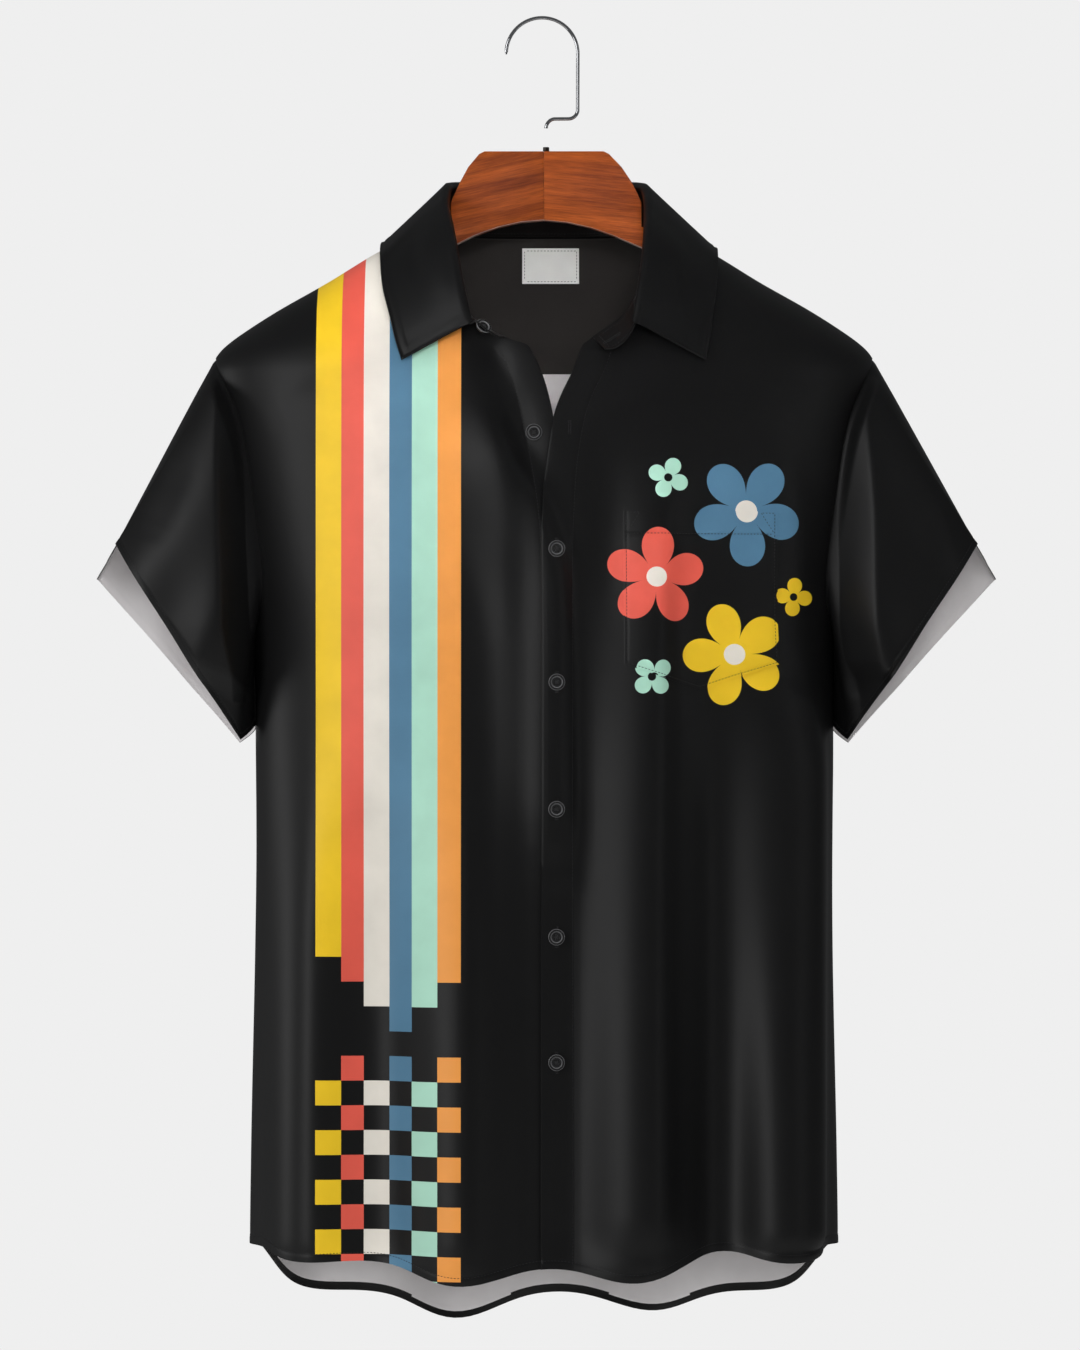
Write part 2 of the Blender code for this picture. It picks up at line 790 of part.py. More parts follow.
def turned(name, profile, closed, group, finish):
    """A piece turned about its own Z axis. Its points (radius, height) run down the outside."""
    edges = [(i, i + 1) for i in range(len(profile) - 1)]
    if closed:
        edges.append((len(profile) - 1, 0))
    mesh = bpy.data.meshes.new(name)
    mesh.from_pydata([(radius, 0.0, height) for radius, height in profile], edges, [])
    item = add_mesh(name, mesh, group, finish)
    spin = item.modifiers.new("turned", "SCREW")
    spin.axis = "Z"
    spin.steps = ROUND_SIDES
    spin.render_steps = ROUND_SIDES
    spin.use_smooth_shade = True
    spin.use_merge_vertices = True
    spin.merge_threshold = MERGE
    return item


def hole_cutter(group):
    """Four pegs that cut a button's sewing holes."""
    tool = bmesh.new()
    for x in (-BUTTON_HOLE_AT, BUTTON_HOLE_AT):
        for y in (-BUTTON_HOLE_AT, BUTTON_HOLE_AT):
            bmesh.ops.create_cone(
                tool,
                cap_ends=True,
                segments=5,
                radius1=BUTTON_HOLE,
                radius2=BUTTON_HOLE,
                depth=BUTTON_THICK * 4,
                matrix=Matrix.Translation((x, y, 0.0)),
            )
    mesh = bpy.data.meshes.new("button_pegs")
    tool.to_mesh(mesh)
    tool.free()
    pegs = bpy.data.objects.new("button_pegs", mesh)
    pegs.hide_render = True
    pegs.display_type = "WIRE"
    group.objects.link(pegs)
    return pegs


def make_button(name, point, normal, pegs, group, finish):
    """A four-hole button with a raised rim, its back on a point of the cloth."""
    profile = (
        (0.0, BUTTON_THICK * 0.62),
        (BUTTON_RADIUS * 0.62, BUTTON_THICK * 0.62),
        (BUTTON_RADIUS * 0.84, BUTTON_THICK),
        (BUTTON_RADIUS, BUTTON_THICK * 0.55),
        (BUTTON_RADIUS * 0.86, 0.0),
        (0.0, 0.0),
    )
    item = turned(name, profile, False, group, finish)
    turn = normal.to_track_quat("Z", "Y").to_matrix().to_4x4()
    item.matrix_world = Matrix.Translation(point + normal * LIE) @ turn
    cutter = pegs.copy()
    cutter.matrix_world = item.matrix_world
    pegs.users_collection[0].objects.link(cutter)
    cut = item.modifiers.new("holes", "BOOLEAN")
    cut.object = cutter
    cut.operation = "DIFFERENCE"
    cut.solver = "EXACT"


def make_buttons(group, cutters, finish, stand_outer, stand_inner):
    pegs = hole_cutter(cutters)
    seats = [(f"button_{number}", BUTTON_X, z, 0.0) for number, z in enumerate(BUTTON_HEIGHTS, 1)]
    seats.append(("button_neck", *OPEN_BUTTON, lap_push(*OPEN_BUTTON)))
    for name, x, z, push in seats:
        angle = angle_at(x, z)
        normal = body_normal(angle, z)
        make_button(name, on_body(angle, z) + normal * push, normal, pegs, group, finish)
    point = stand_outer[STAND_BUTTON_ROW][STAND_BUTTON_COLUMN]
    normal = (point - stand_inner[STAND_BUTTON_ROW][STAND_BUTTON_COLUMN]).normalized()
    make_button("button_collar", point, normal, pegs, group, finish)


def hanger_outline():
    """Half of the hanger's outline in x and z, from the top middle round to the bottom middle."""
    corner = (HANGER_TOP_HALF, HANGER_TOP - HANGER_EDGE)
    points = [(0.0, HANGER_TOP), (HANGER_TOP_HALF - 2 * HANGER_EDGE, HANGER_TOP), corner]
    for t in HANGER_FLANK_STEPS:
        x = corner[0] + (HANGER_NECK_HALF - corner[0]) * t**0.8
        points.append((x, corner[1] + (HANGER_NECK_Z - corner[1]) * t**1.1))
    points.append((HANGER_NECK_HALF, shoulder_z(HANGER_ARM_X[0]) - HANGER_UNDER_CLOTH))
    for x in HANGER_ARM_X:
        points.append((x, shoulder_z(x) - HANGER_UNDER_CLOTH))
    tip_z = shoulder_z(HANGER_REACH) - HANGER_UNDER_CLOTH - 2 * HANGER_EDGE
    points.append((HANGER_REACH, tip_z))
    points.append((HANGER_REACH, tip_z - HANGER_TIP_HEIGHT * 0.7))
    points.append((HANGER_REACH - 3 * HANGER_EDGE, tip_z - HANGER_TIP_HEIGHT))
    points.append((HANGER_ELBOW_X, shoulder_z(HANGER_ELBOW_X) - HANGER_ARM_HEIGHT))
    points += [HANGER_UNDER_ARM, (HANGER_NECK_HALF, HANGER_ARM_Z)]
    for t in HANGER_ARCH_STEPS:
        points.append((HANGER_NECK_HALF * t, HANGER_ARCH_Z + (HANGER_ARM_Z - HANGER_ARCH_Z) * t**1.9))
    return points


def shoulder_z(x):
    """The height of the shoulder line at x."""
    low, high = SHOULDER_TIP_Z, BODY[-1].z
    for _ in range(30):
        middle = (low + high) / 2
        if read_table(BODY, "z", "half_width", middle) > x:
            low = middle
        else:
            high = middle
    return (low + high) / 2


def make_hanger(group, finish):
    outline = hanger_outline()
    for side, name in ((1, "hanger_left"), (-1, "hanger_right")):
        curve = bpy.data.curves.new(name, "CURVE")
        curve.dimensions = "2D"
        curve.fill_mode = "BOTH"
        curve.extrude = HANGER_THICK / 2
        spline = curve.splines.new("POLY")
        spline.points.add(len(outline) - 1)
        for target, (x, z) in zip(spline.points, outline):
            target.co = (side * max(x, SEAM / 2), z, 0.0, 1.0)
        spline.use_cyclic_u = True
        curve.materials.append(finish)
        half = bpy.data.objects.new(name, curve)
        half.rotation_euler = (math.radians(90), 0.0, 0.0)
        group.objects.link(half)
        weld = half.modifiers.new("joined_caps", "WELD")
        weld.merge_threshold = MERGE
        soft = half.modifiers.new("soft_edges", "BEVEL")
        soft.width = HANGER_EDGE
        soft.segments = 2
        soft.limit_method = "ANGLE"
        soft.angle_limit = math.radians(60)


def arc(middle_x, middle_z, radius, start, end, steps):
    for i in range(steps + 1):
        turn = math.radians(start + (end - start) * i / steps)
        yield (middle_x + radius * math.cos(turn), middle_z + radius * math.sin(turn))


def make_hook(group, finish):
    """The wire: an open round top, a straight side, a short step and the stem."""
    top_z = WIRE - HOOK_RADIUS
    right = HOOK_MIDDLE_X + HOOK_RADIUS
    route = list(arc(HOOK_MIDDLE_X, top_z, HOOK_RADIUS, 182, 0, 16))
    route += list(arc(right - BEND, HOOK_FOOT_Z + BEND, BEND, 0, -90, 4))
    route += list(arc(STEM_X + BEND, HOOK_FOOT_Z - BEND, BEND, 90, 180, 4))
    route.append((STEM_X, HANGER_TOP + SEAM))
    curve = bpy.data.curves.new("hook", "CURVE")
    curve.dimensions = "3D"
    curve.bevel_depth = WIRE
    curve.bevel_resolution = 2
    curve.use_fill_caps = True
    spline = curve.splines.new("POLY")
    spline.points.add(len(route) - 1)
    for target, (x, z) in zip(spline.points, route):
        target.co = (x, 0.0, z, 1.0)
    curve.materials.append(finish)
    hook = bpy.data.objects.new("hook", curve)
    group.objects.link(hook)


def make_ferrule(group, finish):
    """A small ring round the foot of the stem."""
    bore = WIRE + SEAM
    profile = (
        (bore, FERRULE_HEIGHT),
        (FERRULE_RADIUS * 0.8, FERRULE_HEIGHT),
        (FERRULE_RADIUS, FERRULE_HEIGHT * 0.7),
        (FERRULE_RADIUS, 0.0),
        (bore, 0.0),
    )
    item = turned("ferrule", profile, True, group, finish)
    item.location = (STEM_X, 0.0, HANGER_TOP + SEAM)


def main():
    clear_scene()
    group = collection("shirt_on_hanger")
    cutters = collection("cutters")
    black = material("black_polyester", (0.016, 0.016, 0.017), 0.55)
    lining = material("black_yoke_lining", (0.012, 0.012, 0.013), 0.7)
    label = material("grey_label", (0.55, 0.57, 0.55), 0.8)
    horn = material("black_button", (0.02, 0.02, 0.022), 0.3)
    wood = material("red_brown_wood", (0.25, 0.055, 0.02), 0.35)
    chrome = material("chrome_wire", (0.75, 0.76, 0.78), 0.18, 1.0)

    for name, side in (("left_front", 1), ("right_front", -1)):
        outer, inner = skin(front_places(side), 0.0, CLOTH)
        wall(name, outer, inner, group, black)
    outer, inner = skin(back_places(), 0.0, CLOTH)
    wall("back", outer, inner, group, black)
    outer, inner = skin(yoke_places(), 0.0, CLOTH)
    wall("yoke", outer, inner, group, black)
    outer, inner = skin(yoke_places(), -(CLOTH + LIE), CLOTH)
    wall("inner_yoke", outer, inner, group, lining)
    for name, side in (("left_sleeve", 1), ("right_sleeve", -1)):
        outer, inner = sleeve_grids(side)
        wall(name, outer, inner, group, black, closed=True)
    stand_outer, stand_inner = make_collar(group, black)
    make_pocket(group, black)
    make_label(group, label)
    make_buttons(group, cutters, horn, stand_outer, stand_inner)
    make_hanger(group, wood)
    make_hook(group, chrome)
    make_ferrule(group, chrome)


main()
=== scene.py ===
import json
import math

import bpy
import numpy as np
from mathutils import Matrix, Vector

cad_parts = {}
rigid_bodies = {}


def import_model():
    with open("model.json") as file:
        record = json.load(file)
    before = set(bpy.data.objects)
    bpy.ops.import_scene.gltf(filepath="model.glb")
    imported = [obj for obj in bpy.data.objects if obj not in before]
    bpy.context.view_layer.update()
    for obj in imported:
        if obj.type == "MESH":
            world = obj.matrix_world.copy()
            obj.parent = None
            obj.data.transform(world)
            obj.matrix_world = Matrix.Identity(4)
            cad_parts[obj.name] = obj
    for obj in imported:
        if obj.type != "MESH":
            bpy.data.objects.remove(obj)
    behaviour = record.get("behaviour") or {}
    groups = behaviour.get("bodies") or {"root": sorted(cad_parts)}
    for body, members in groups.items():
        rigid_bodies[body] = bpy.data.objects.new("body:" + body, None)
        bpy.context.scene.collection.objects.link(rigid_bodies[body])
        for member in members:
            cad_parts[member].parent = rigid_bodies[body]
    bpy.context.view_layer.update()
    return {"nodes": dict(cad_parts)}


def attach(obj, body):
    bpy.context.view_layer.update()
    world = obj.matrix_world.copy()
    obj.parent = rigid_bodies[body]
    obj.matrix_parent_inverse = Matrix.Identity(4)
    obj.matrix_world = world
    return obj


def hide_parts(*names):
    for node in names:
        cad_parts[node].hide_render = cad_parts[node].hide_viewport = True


# A short-sleeved shirt on a wooden hanger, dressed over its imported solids.
# The body is one round surface: an angle (0 in front, 90 at the wearer's left, 180 behind) and a height.

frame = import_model()
print("frame loaded:", len(frame["nodes"]), "nodes")


# ---- small helpers

def ease(value):
    t = np.clip(value, 0.0, 1.0)
    return t * t * (3 - 2 * t)


def bump(distance, width):
    return np.exp(-((distance / width) ** 2))


def turnBump(angle, turn, width):
    # a bump about one turn of a round form, in degrees
    return bump((angle - turn + 180) % 360 - 180, width)


def readTable(table, column, at):
    # a smooth curve through one column of a table, kept between its neighbours
    keys, values = np.array(table["z"]), np.array(table[column])
    at = np.clip(at, keys[0], keys[-1])
    low = np.clip(np.searchsorted(keys, at, side="right") - 1, 0, len(keys) - 2)
    slopes = np.gradient(values, keys, edge_order=1)
    slopes[1:-1] = (values[2:] - values[:-2]) / (keys[2:] - keys[:-2])
    span = keys[low + 1] - keys[low]
    rise = values[low + 1] - values[low]
    t = (at - keys[low]) / span

    def kept(slope):
        return np.where(rise * slope > 0, np.sign(rise) * np.minimum(abs(slope), 3 * abs(rise)), 0.0)

    start, end = kept(slopes[low] * span), kept(slopes[low + 1] * span)
    return (
        (2 * t**3 - 3 * t**2 + 1) * values[low] + (t**3 - 2 * t**2 + t) * start
        + (3 * t**2 - 2 * t**3) * values[low + 1] + (t**3 - t**2) * end
    )


def smoothLine(points, between):
    # points on a smooth curve through these
    points = np.asarray(points, float)
    last = len(points) - 1
    line = []
    for i in range(last):
        before, start, end, after = (points[min(max(k, 0), last)] for k in (i - 1, i, i + 1, i + 2))
        for t in np.arange(between) / between:
            line.append(0.5 * (
                2 * start + (end - before) * t + (2 * before - 5 * start + 4 * end - after) * t**2
                + (3 * start - before - 3 * end + after) * t**3
            ))
    line.append(points[-1])
    return np.array(line)


def finer(values, between):
    values = np.asarray(values, float)
    steps = np.arange((len(values) - 1) * between + 1) / between
    return np.interp(steps, np.arange(len(values)), values)


def unit(vectors):
    return vectors / np.linalg.norm(vectors, axis=-1, keepdims=True)


def addObject(name, data):
    obj = bpy.data.objects.new(name, data)
    bpy.context.scene.collection.objects.link(obj)
    return obj


def select(obj):
    for other in bpy.context.view_layer.objects:
        other.select_set(False)
    obj.select_set(True)
    bpy.context.view_layer.objects.active = obj


def modify(obj, kind, **values):
    # adds a modifier to the active object and applies it
    added = obj.modifiers.new(kind.lower(), kind)
    for name, value in values.items():
        setattr(added, name, value)
    bpy.ops.object.modifier_apply(modifier=added.name)


def newCylinder(sides, radius, depth, **place):
    bpy.ops.object.select_all(action="DESELECT")
    bpy.ops.mesh.primitive_cylinder_add(vertices=sides, radius=radius, depth=depth, **place)
    return bpy.context.active_object


# ---- the form of the body

bodyForm = {
    "z": [-0.990, -0.850, -0.700, -0.560, -0.459, -0.360, -0.300, -0.272, -0.260, -0.251, -0.243, -0.233,
          -0.216, -0.195, -0.172, -0.149, -0.140],
    "half": [0.213, 0.212, 0.212, 0.213, 0.216, 0.230, 0.2395, 0.2455, 0.2460, 0.2430, 0.2365, 0.2235,
             0.1970, 0.160, 0.122, 0.076, 0.054],
    "front": [0.104, 0.103, 0.103, 0.105, 0.106, 0.103, 0.097, 0.092, 0.090, 0.088, 0.086, 0.083,
              0.077, 0.068, 0.059, 0.049, 0.044],
    "back": [0.100, 0.097, 0.094, 0.094, 0.097, 0.098, 0.097, 0.095, 0.094, 0.092, 0.090, 0.088,
             0.084, 0.076, 0.067, 0.056, 0.050],
}
bodyFolds = {
    "angle": [-51, -15, 16, 36, 51, 86, 129, 160, 196, 232, 276],
    "width": [14, 11, 10, 8, 10, 12, 12, 11, 11, 12, 12],
    "depth": [0.011, 0.012, 0.011, -0.003, 0.010, 0.005, 0.010, 0.010, 0.012, 0.010, 0.005],
    "top": [-0.52, -0.56, -0.50, -0.60, -0.60, -0.62, -0.50, -0.58, -0.54, -0.60, -0.60],
    "dip": [0.006, 0.016, 0.014, -0.005, 0.007, 0.002, 0.004, 0.018, 0.024, 0.004, 0.002],
}
frontEdge = {
    "z": [-0.980, -0.400, -0.368, -0.333, -0.298, -0.281, -0.264, -0.245, -0.241, -0.236, -0.230, -0.223,
          -0.214, -0.202, -0.190, -0.176, -0.162, -0.154, -0.1495],
    "left": [-0.0025, -0.0025, -0.0015, 0.0007, 0.0065, 0.0123, 0.0205, 0.0280, 0.0330, 0.0390, 0.0480,
             0.0570, 0.0630, 0.0680, 0.0710, 0.0740, 0.0755, 0.0760, 0.0760],
    "right": [0.0210, 0.0210, 0.0190, 0.0140, 0.0070, 0.0035, -0.0020, -0.0120, -0.0230, -0.0340, -0.0450,
              -0.0530, -0.0590, -0.0650, -0.0690, -0.0725, -0.0750, -0.0758, -0.0760],
}
body = {
    "fullness": 0.10, "seam": 0.00005, "shoulderTip": -0.251, "armpit": -0.459, "neck": -0.149,
    "backNeck": -0.158,
    "hemSide": -0.902, "frontTail": 0.010, "backTail": 0.045, "yokeSeam": -0.258, "neckCorner": -0.245,
    "armholeFront": 24, "armholeBack": 27, "armholeSteps": 12, "clothSolid": 0.0014, "lie": 0.0005,
    "halvings": 26, "probeTurn": 0.5, "probeRise": 0.0008, "sideBlend": (0.012, 0.03),
}
cloth = {
    "thick": 0.0007, "rolled": 0.0006, "rollWidth": 0.0018, "hem": 0.0070, "hemRise": 0.0003,
    "hemStep": 0.0012,
    "hemStitch": 0.001, "hemEdge": 0.0005, "groove": 0.0004, "grooveWidth": 0.0010, "allowance": 0.0080,
    "weavePitch": 0.00011, "smooth": 50,
}


def crease(depth, width, path, fade=(0.35, 0.35), bends=6, crest=0.0):
    # seen from in front: how deep (out is above 0), how wide to its left and right, the path as (x, z), over
    # which shares of its length it starts and ends, how finely it bends, and how narrow a pressed crest is
    return {"depth": depth, "width": width, "path": path, "fade": fade, "bends": bends, "crest": crest}


frontCreases = [
    crease(0.0102, (0.027, 0.01), [(-0.051, -0.262), (-0.034, -0.314), (-0.009, -0.358), (0.006, -0.402),
           (0.01, -0.445), (0.013, -0.53), (0.016, -0.66)], fade=(0.18, 0.22)),
    crease(-0.0045, (0.02, 0.02), [(-0.082, -0.33), (-0.06, -0.4), (-0.044, -0.47), (-0.036, -0.64)]),
    crease(-0.005, (0.01, 0.012), [(-0.042, -0.238), (-0.027, -0.276), (-0.014, -0.315), (-0.004, -0.36)],
           fade=(0.1, 0.4)),
    crease(0.008, (0.03, 0.018), [(-0.172, -0.5), (-0.171, -0.64), (-0.17, -0.94)], fade=(0.45, 0.1)),
    crease(-0.0095, (0.024, 0.028), [(-0.122, -0.5), (-0.122, -0.7), (-0.12, -0.94)], fade=(0.45, 0.1)),
    crease(0.0075, (0.032, 0.014), [(-0.062, -0.5), (-0.058, -0.64), (-0.057, -0.94)], fade=(0.4, 0.1)),
    crease(-0.0022, (0.026, 0.026), [(-0.15, -0.262), (-0.156, -0.34), (-0.148, -0.44)]),
    crease(-0.0062, (0.016, 0.022), [(0.024, -0.4), (0.022, -0.54), (0.021, -0.94)], fade=(0.3, 0.1)),
    crease(0.011, (0.029, 0.015), [(0.112, -0.296), (0.1, -0.33), (0.086, -0.366), (0.084, -0.402),
           (0.08, -0.445), (0.079, -0.52), (0.078, -0.64), (0.078, -0.94)], fade=(0.2, 0.1)),
    crease(-0.012, (0.022, 0.022), [(0.126, -0.44), (0.131, -0.6), (0.132, -0.94)], fade=(0.35, 0.1)),
    crease(0.02, (0.035, 0.016), [(0.186, -0.44), (0.186, -0.62), (0.184, -0.94)], fade=(0.24, 0.1)),
    crease(0.003, (0.016, 0.014), [(0.168, -0.3), (0.182, -0.38), (0.18, -0.47)]),
    crease(-0.0024, (0.014, 0.018), [(0.04, -0.3), (0.046, -0.36), (0.044, -0.45)]),
    crease(-0.0014, (0.01, 0.012), [(0.128, -0.262), (0.158, -0.272), (0.2, -0.292)]),
    crease(-0.0014, (0.01, 0.012), [(-0.13, -0.262), (-0.16, -0.276), (-0.204, -0.3)]),
]
backCreases = [
    crease(0.0038, (0.026, 0.03), [(-0.15, -0.3), (-0.12, -0.42), (-0.096, -0.56)]),
    crease(0.0034, (0.026, 0.028), [(0.158, -0.31), (0.124, -0.44), (0.11, -0.6)]),
    crease(-0.0036, (0.03, 0.036), [(-0.018, -0.27), (-0.012, -0.4), (-0.016, -0.6)]),
    crease(0.0032, (0.022, 0.026), [(0.056, -0.27), (0.06, -0.42), (0.052, -0.62)]),
    crease(-0.0052, (0.026, 0.026), [(0.01, -0.56), (0.012, -0.74), (0.004, -0.96)], fade=(0.35, 0.05)),
    crease(-0.005, (0.02, 0.022), [(0.118, -0.58), (0.112, -0.76), (0.11, -0.95)], fade=(0.35, 0.05)),
    crease(-0.0054, (0.022, 0.02), [(-0.12, -0.56), (-0.122, -0.76), (-0.114, -0.95)], fade=(0.35, 0.05)),
    crease(0.004, (0.018, 0.024), [(0.066, -0.54), (0.064, -0.74), (0.062, -0.96)], fade=(0.45, 0.05)),
    crease(0.0044, (0.024, 0.018), [(-0.066, -0.56), (-0.064, -0.74), (-0.06, -0.96)], fade=(0.45, 0.05)),
    crease(-0.003, (0.016, 0.02), [(-0.196, -0.42), (-0.19, -0.56), (-0.196, -0.76)]),
    crease(-0.0032, (0.016, 0.02), [(0.192, -0.44), (0.19, -0.6), (0.192, -0.82)]),
]


def foldPush(angle, z):
    push = np.zeros(np.broadcast(angle, z).shape)
    for turn, width, depth, top in zip(*(bodyFolds[k] for k in ("angle", "width", "depth", "top"))):
        ramp = ease((top - z) / (top - body["hemSide"]))
        push = push + depth * ramp * turnBump(angle, turn, width)
    return push


def foldDip(angle):
    return sum(
        dip * turnBump(angle, turn, width)
        for turn, width, dip in zip(bodyFolds["angle"], bodyFolds["width"], bodyFolds["dip"])
    )


def onBody(angle, z):
    angle, z = np.broadcast_arrays(np.asarray(angle, float), np.asarray(z, float))
    sine, cosine = np.sin(np.radians(angle)), np.cos(np.radians(angle))
    half = readTable(bodyForm, "half", z)
    depth = np.where(cosine > 0, readTable(bodyForm, "front", z), readTable(bodyForm, "back", z))
    x = half * sine * (1 + body["fullness"] * cosine**2)
    y = -depth * cosine * (1 + body["fullness"] * sine**2)
    out = unit(np.stack([x / half**2, y / depth**2, np.zeros_like(x)], -1))
    return np.stack([x, y, z], -1) + out * foldPush(angle, z)[..., None]


def bodyNormal(angle, z):
    turn, rise = body["probeTurn"], body["probeRise"]
    across = onBody(angle + turn, z) - onBody(angle - turn, z)
    up = onBody(angle, z + rise) - onBody(angle, z - rise)
    return unit(np.cross(across, up))


def creaseHeight(places, creases):
    # how far the creases move cloth at places (x, z) out
    height = np.zeros(len(places))
    for one in creases:
        line = smoothLine(one["path"], one["bends"])
        start, step = line[:-1], np.diff(line, axis=0)
        size = np.hypot(step[:, 0], step[:, 1])
        reach = places[:, None] - start[None]
        t = np.clip((reach * step).sum(-1) / size**2, 0, 1)
        gap = reach - t[..., None] * step
        distance = np.hypot(gap[..., 0], gap[..., 1])
        run = (np.cumsum(size) - size + t * size) / size.sum()
        turn = (step[:, 0] * gap[..., 1] - step[:, 1] * gap[..., 0]) / (size * distance + 1e-9)
        left, right = one["width"]
        width = left + (right - left) * (0.5 + 0.5 * turn)
        if one["crest"]:  # a pressed fold, whose two flat sides meet in a narrow crest
            shape = np.clip(1 - (np.hypot(distance, one["crest"]) - one["crest"]) / width, 0, 1)
        else:
            shape = bump(distance, width)
        begin, end = one["fade"]
        height += one["depth"] * (shape * ease(run / begin) * ease((1 - run) / end)).max(1)
    return height


def onCloth(angle, z, push=0.0):
    # the outer face of the creased cloth
    point, normal = onBody(angle, z), bodyNormal(angle, z)
    flat = point.reshape(-1, 3)
    places = flat[:, [0, 2]]
    past, over = body["sideBlend"]  # at the sides, front and back creases fade into each other
    front = ease((-flat[:, 1] + past) / over)
    back = ease((flat[:, 1] + past) / over)
    height = creaseHeight(places, frontCreases) * front + creaseHeight(places, backCreases) * back
    return point + normal * (height.reshape(point.shape[:-1]) + push)[..., None]


def bodyAngle(x, z, start, sign):
    # the angle, up to half a turn past start, where the body is x from its middle
    x, z = np.broadcast_arrays(np.asarray(x, float), np.asarray(z, float))
    low, high = np.full(x.shape, start), np.full(x.shape, start + 180)
    for _ in range(body["halvings"]):
        middle = (low + high) / 2
        short = sign * onBody(middle, z)[..., 0] < sign * x
        low, high = np.where(short, middle, low), np.where(short, high, middle)
    return (low + high) / 2


def frontAngle(x, z):
    return bodyAngle(x, z, -90.0, 1)


def backAngle(x, z):
    return bodyAngle(x, z, 90.0, -1)


def armholeTurn(z, widest):
    along = np.clip((body["shoulderTip"] - z) / (body["shoulderTip"] - body["armpit"]), 0, 1)
    return widest * np.sqrt(1 - abs(2 * along - 1) ** 4)


def seamTurn(z, column):
    return np.degrees(body["seam"] / 2 / readTable(bodyForm, column, z))


def frontSide(z):
    return 90 - armholeTurn(z, body["armholeFront"]) - seamTurn(z, "front")


def backSide(z):
    return 90 + armholeTurn(z, body["armholeBack"]) + seamTurn(z, "back")


def hemHeight(angle):
    side = abs(np.sin(np.radians(angle)))
    front = body["frontTail"] * (1 - side**2)
    back = body["backTail"] * (1 - side**8)
    return body["hemSide"] - np.where(np.cos(np.radians(angle)) > 0, front, back) - foldDip(angle)


def armholeHeight(share):
    # the height at a share of the way down the armhole, closer together at both ends
    return body["shoulderTip"] - (body["shoulderTip"] - body["armpit"]) * (1 - np.cos(math.pi * share)) / 2


def armholeHeights():
    return armholeHeight(np.arange(body["armholeSteps"] + 1) / body["armholeSteps"])


# ---- materials

palette = {
    "black": (0.0050, 0.0050, 0.0052), "reverse": (0.800, 0.775, 0.780), "lining": (0.0290, 0.0265, 0.0250),
    "tape": (0.880, 0.890, 0.860),
    "yellow": (0.880, 0.575, 0.022), "coral": (0.785, 0.112, 0.078), "cream": (0.800, 0.755, 0.675),
    "blue": (0.086, 0.208, 0.325), "mint": (0.430, 0.740, 0.590), "orange": (0.880, 0.345, 0.072),
}
stripes = {
    "edges": [-0.1670, -0.1499, -0.1325, -0.1147, -0.0973, -0.0795, -0.0603],
    "colours": ["yellow", "coral", "cream", "blue", "mint", "orange"],
    "ends": [-0.690, -0.708, -0.726, -0.744, -0.726, -0.708],
    "checkTop": -0.762, "checkStep": 0.018,
}


class Nodes:
    # short calls for laying out a node tree
    def __init__(self, tree):
        self.tree = tree

    def add(self, kind, inputs=(), **values):
        node = self.tree.nodes.new(kind)
        for name, value in values.items():
            setattr(node, name, value)
        for socket, value in dict(inputs).items():
            self.put(node.inputs[socket], value)
        return node

    def put(self, socket, value):
        if isinstance(value, bpy.types.NodeSocket):
            self.tree.links.new(value, socket)
        else:
            socket.default_value = value

    def math(self, operation, first, second=0.0, third=0.0):
        return self.add("ShaderNodeMath", {0: first, 1: second, 2: third}, operation=operation).outputs[0]

    def mix(self, share, first, second):
        node = self.add("ShaderNodeMix", data_type="RGBA")
        self.put(node.inputs["Factor"], share)
        self.put(node.inputs[6], first)
        self.put(node.inputs[7], second)
        return node.outputs[2]

    def split(self, vector):
        parts = self.add("ShaderNodeSeparateXYZ", {0: vector})
        return parts.outputs[0], parts.outputs[1], parts.outputs[2]

    def steps(self, value, low, high, stops):
        # a ramp of flat colours: stops are (place, colour)
        ramp = self.add("ShaderNodeValToRGB")
        ramp.color_ramp.interpolation = "CONSTANT"
        while len(ramp.color_ramp.elements) < len(stops):
            ramp.color_ramp.elements.new(0.5)
        for element, (place, colour) in zip(ramp.color_ramp.elements, stops):
            element.position = (place - low) / (high - low)
            element.color = (*colour, 1)
        self.put(ramp.inputs[0], self.math("DIVIDE", self.math("SUBTRACT", value, low), high - low))
        return ramp.outputs[0]


def newGroup(name, inputs, outputs):
    group = bpy.data.node_groups.new(name, "ShaderNodeTree")
    for label, kind in inputs:
        group.interface.new_socket(label, in_out="INPUT", socket_type=kind)
    for label, kind in outputs:
        group.interface.new_socket(label, in_out="OUTPUT", socket_type=kind)
    nodes = Nodes(group)
    return group, nodes, nodes.add("NodeGroupInput").outputs, nodes.add("NodeGroupOutput").inputs


def weaveGroup():
    # a fine plain weave on the cloth's own flat map, with a slow change of tone
    group, nodes, given, out = newGroup(
        "fineWeave", [("Flat", "NodeSocketVector"), ("Pitch", "NodeSocketFloat")],
        [("Height", "NodeSocketFloat"), ("Tone", "NodeSocketFloat")],
    )
    x, z, _ = nodes.split(given["Flat"])
    warp = nodes.math("SINE", nodes.math("DIVIDE", x, given["Pitch"]))
    weft = nodes.math("SINE", nodes.math("DIVIDE", z, given["Pitch"]))
    nodes.put(out["Height"], nodes.math("MULTIPLY", warp, weft))
    cloudy = nodes.add("ShaderNodeTexNoise", {"Vector": given["Flat"], "Scale": 26.0, "Detail": 3.0})
    nodes.put(out["Tone"], nodes.math("MULTIPLY_ADD", cloudy.outputs[0], 0.30, 0.85))
    return group


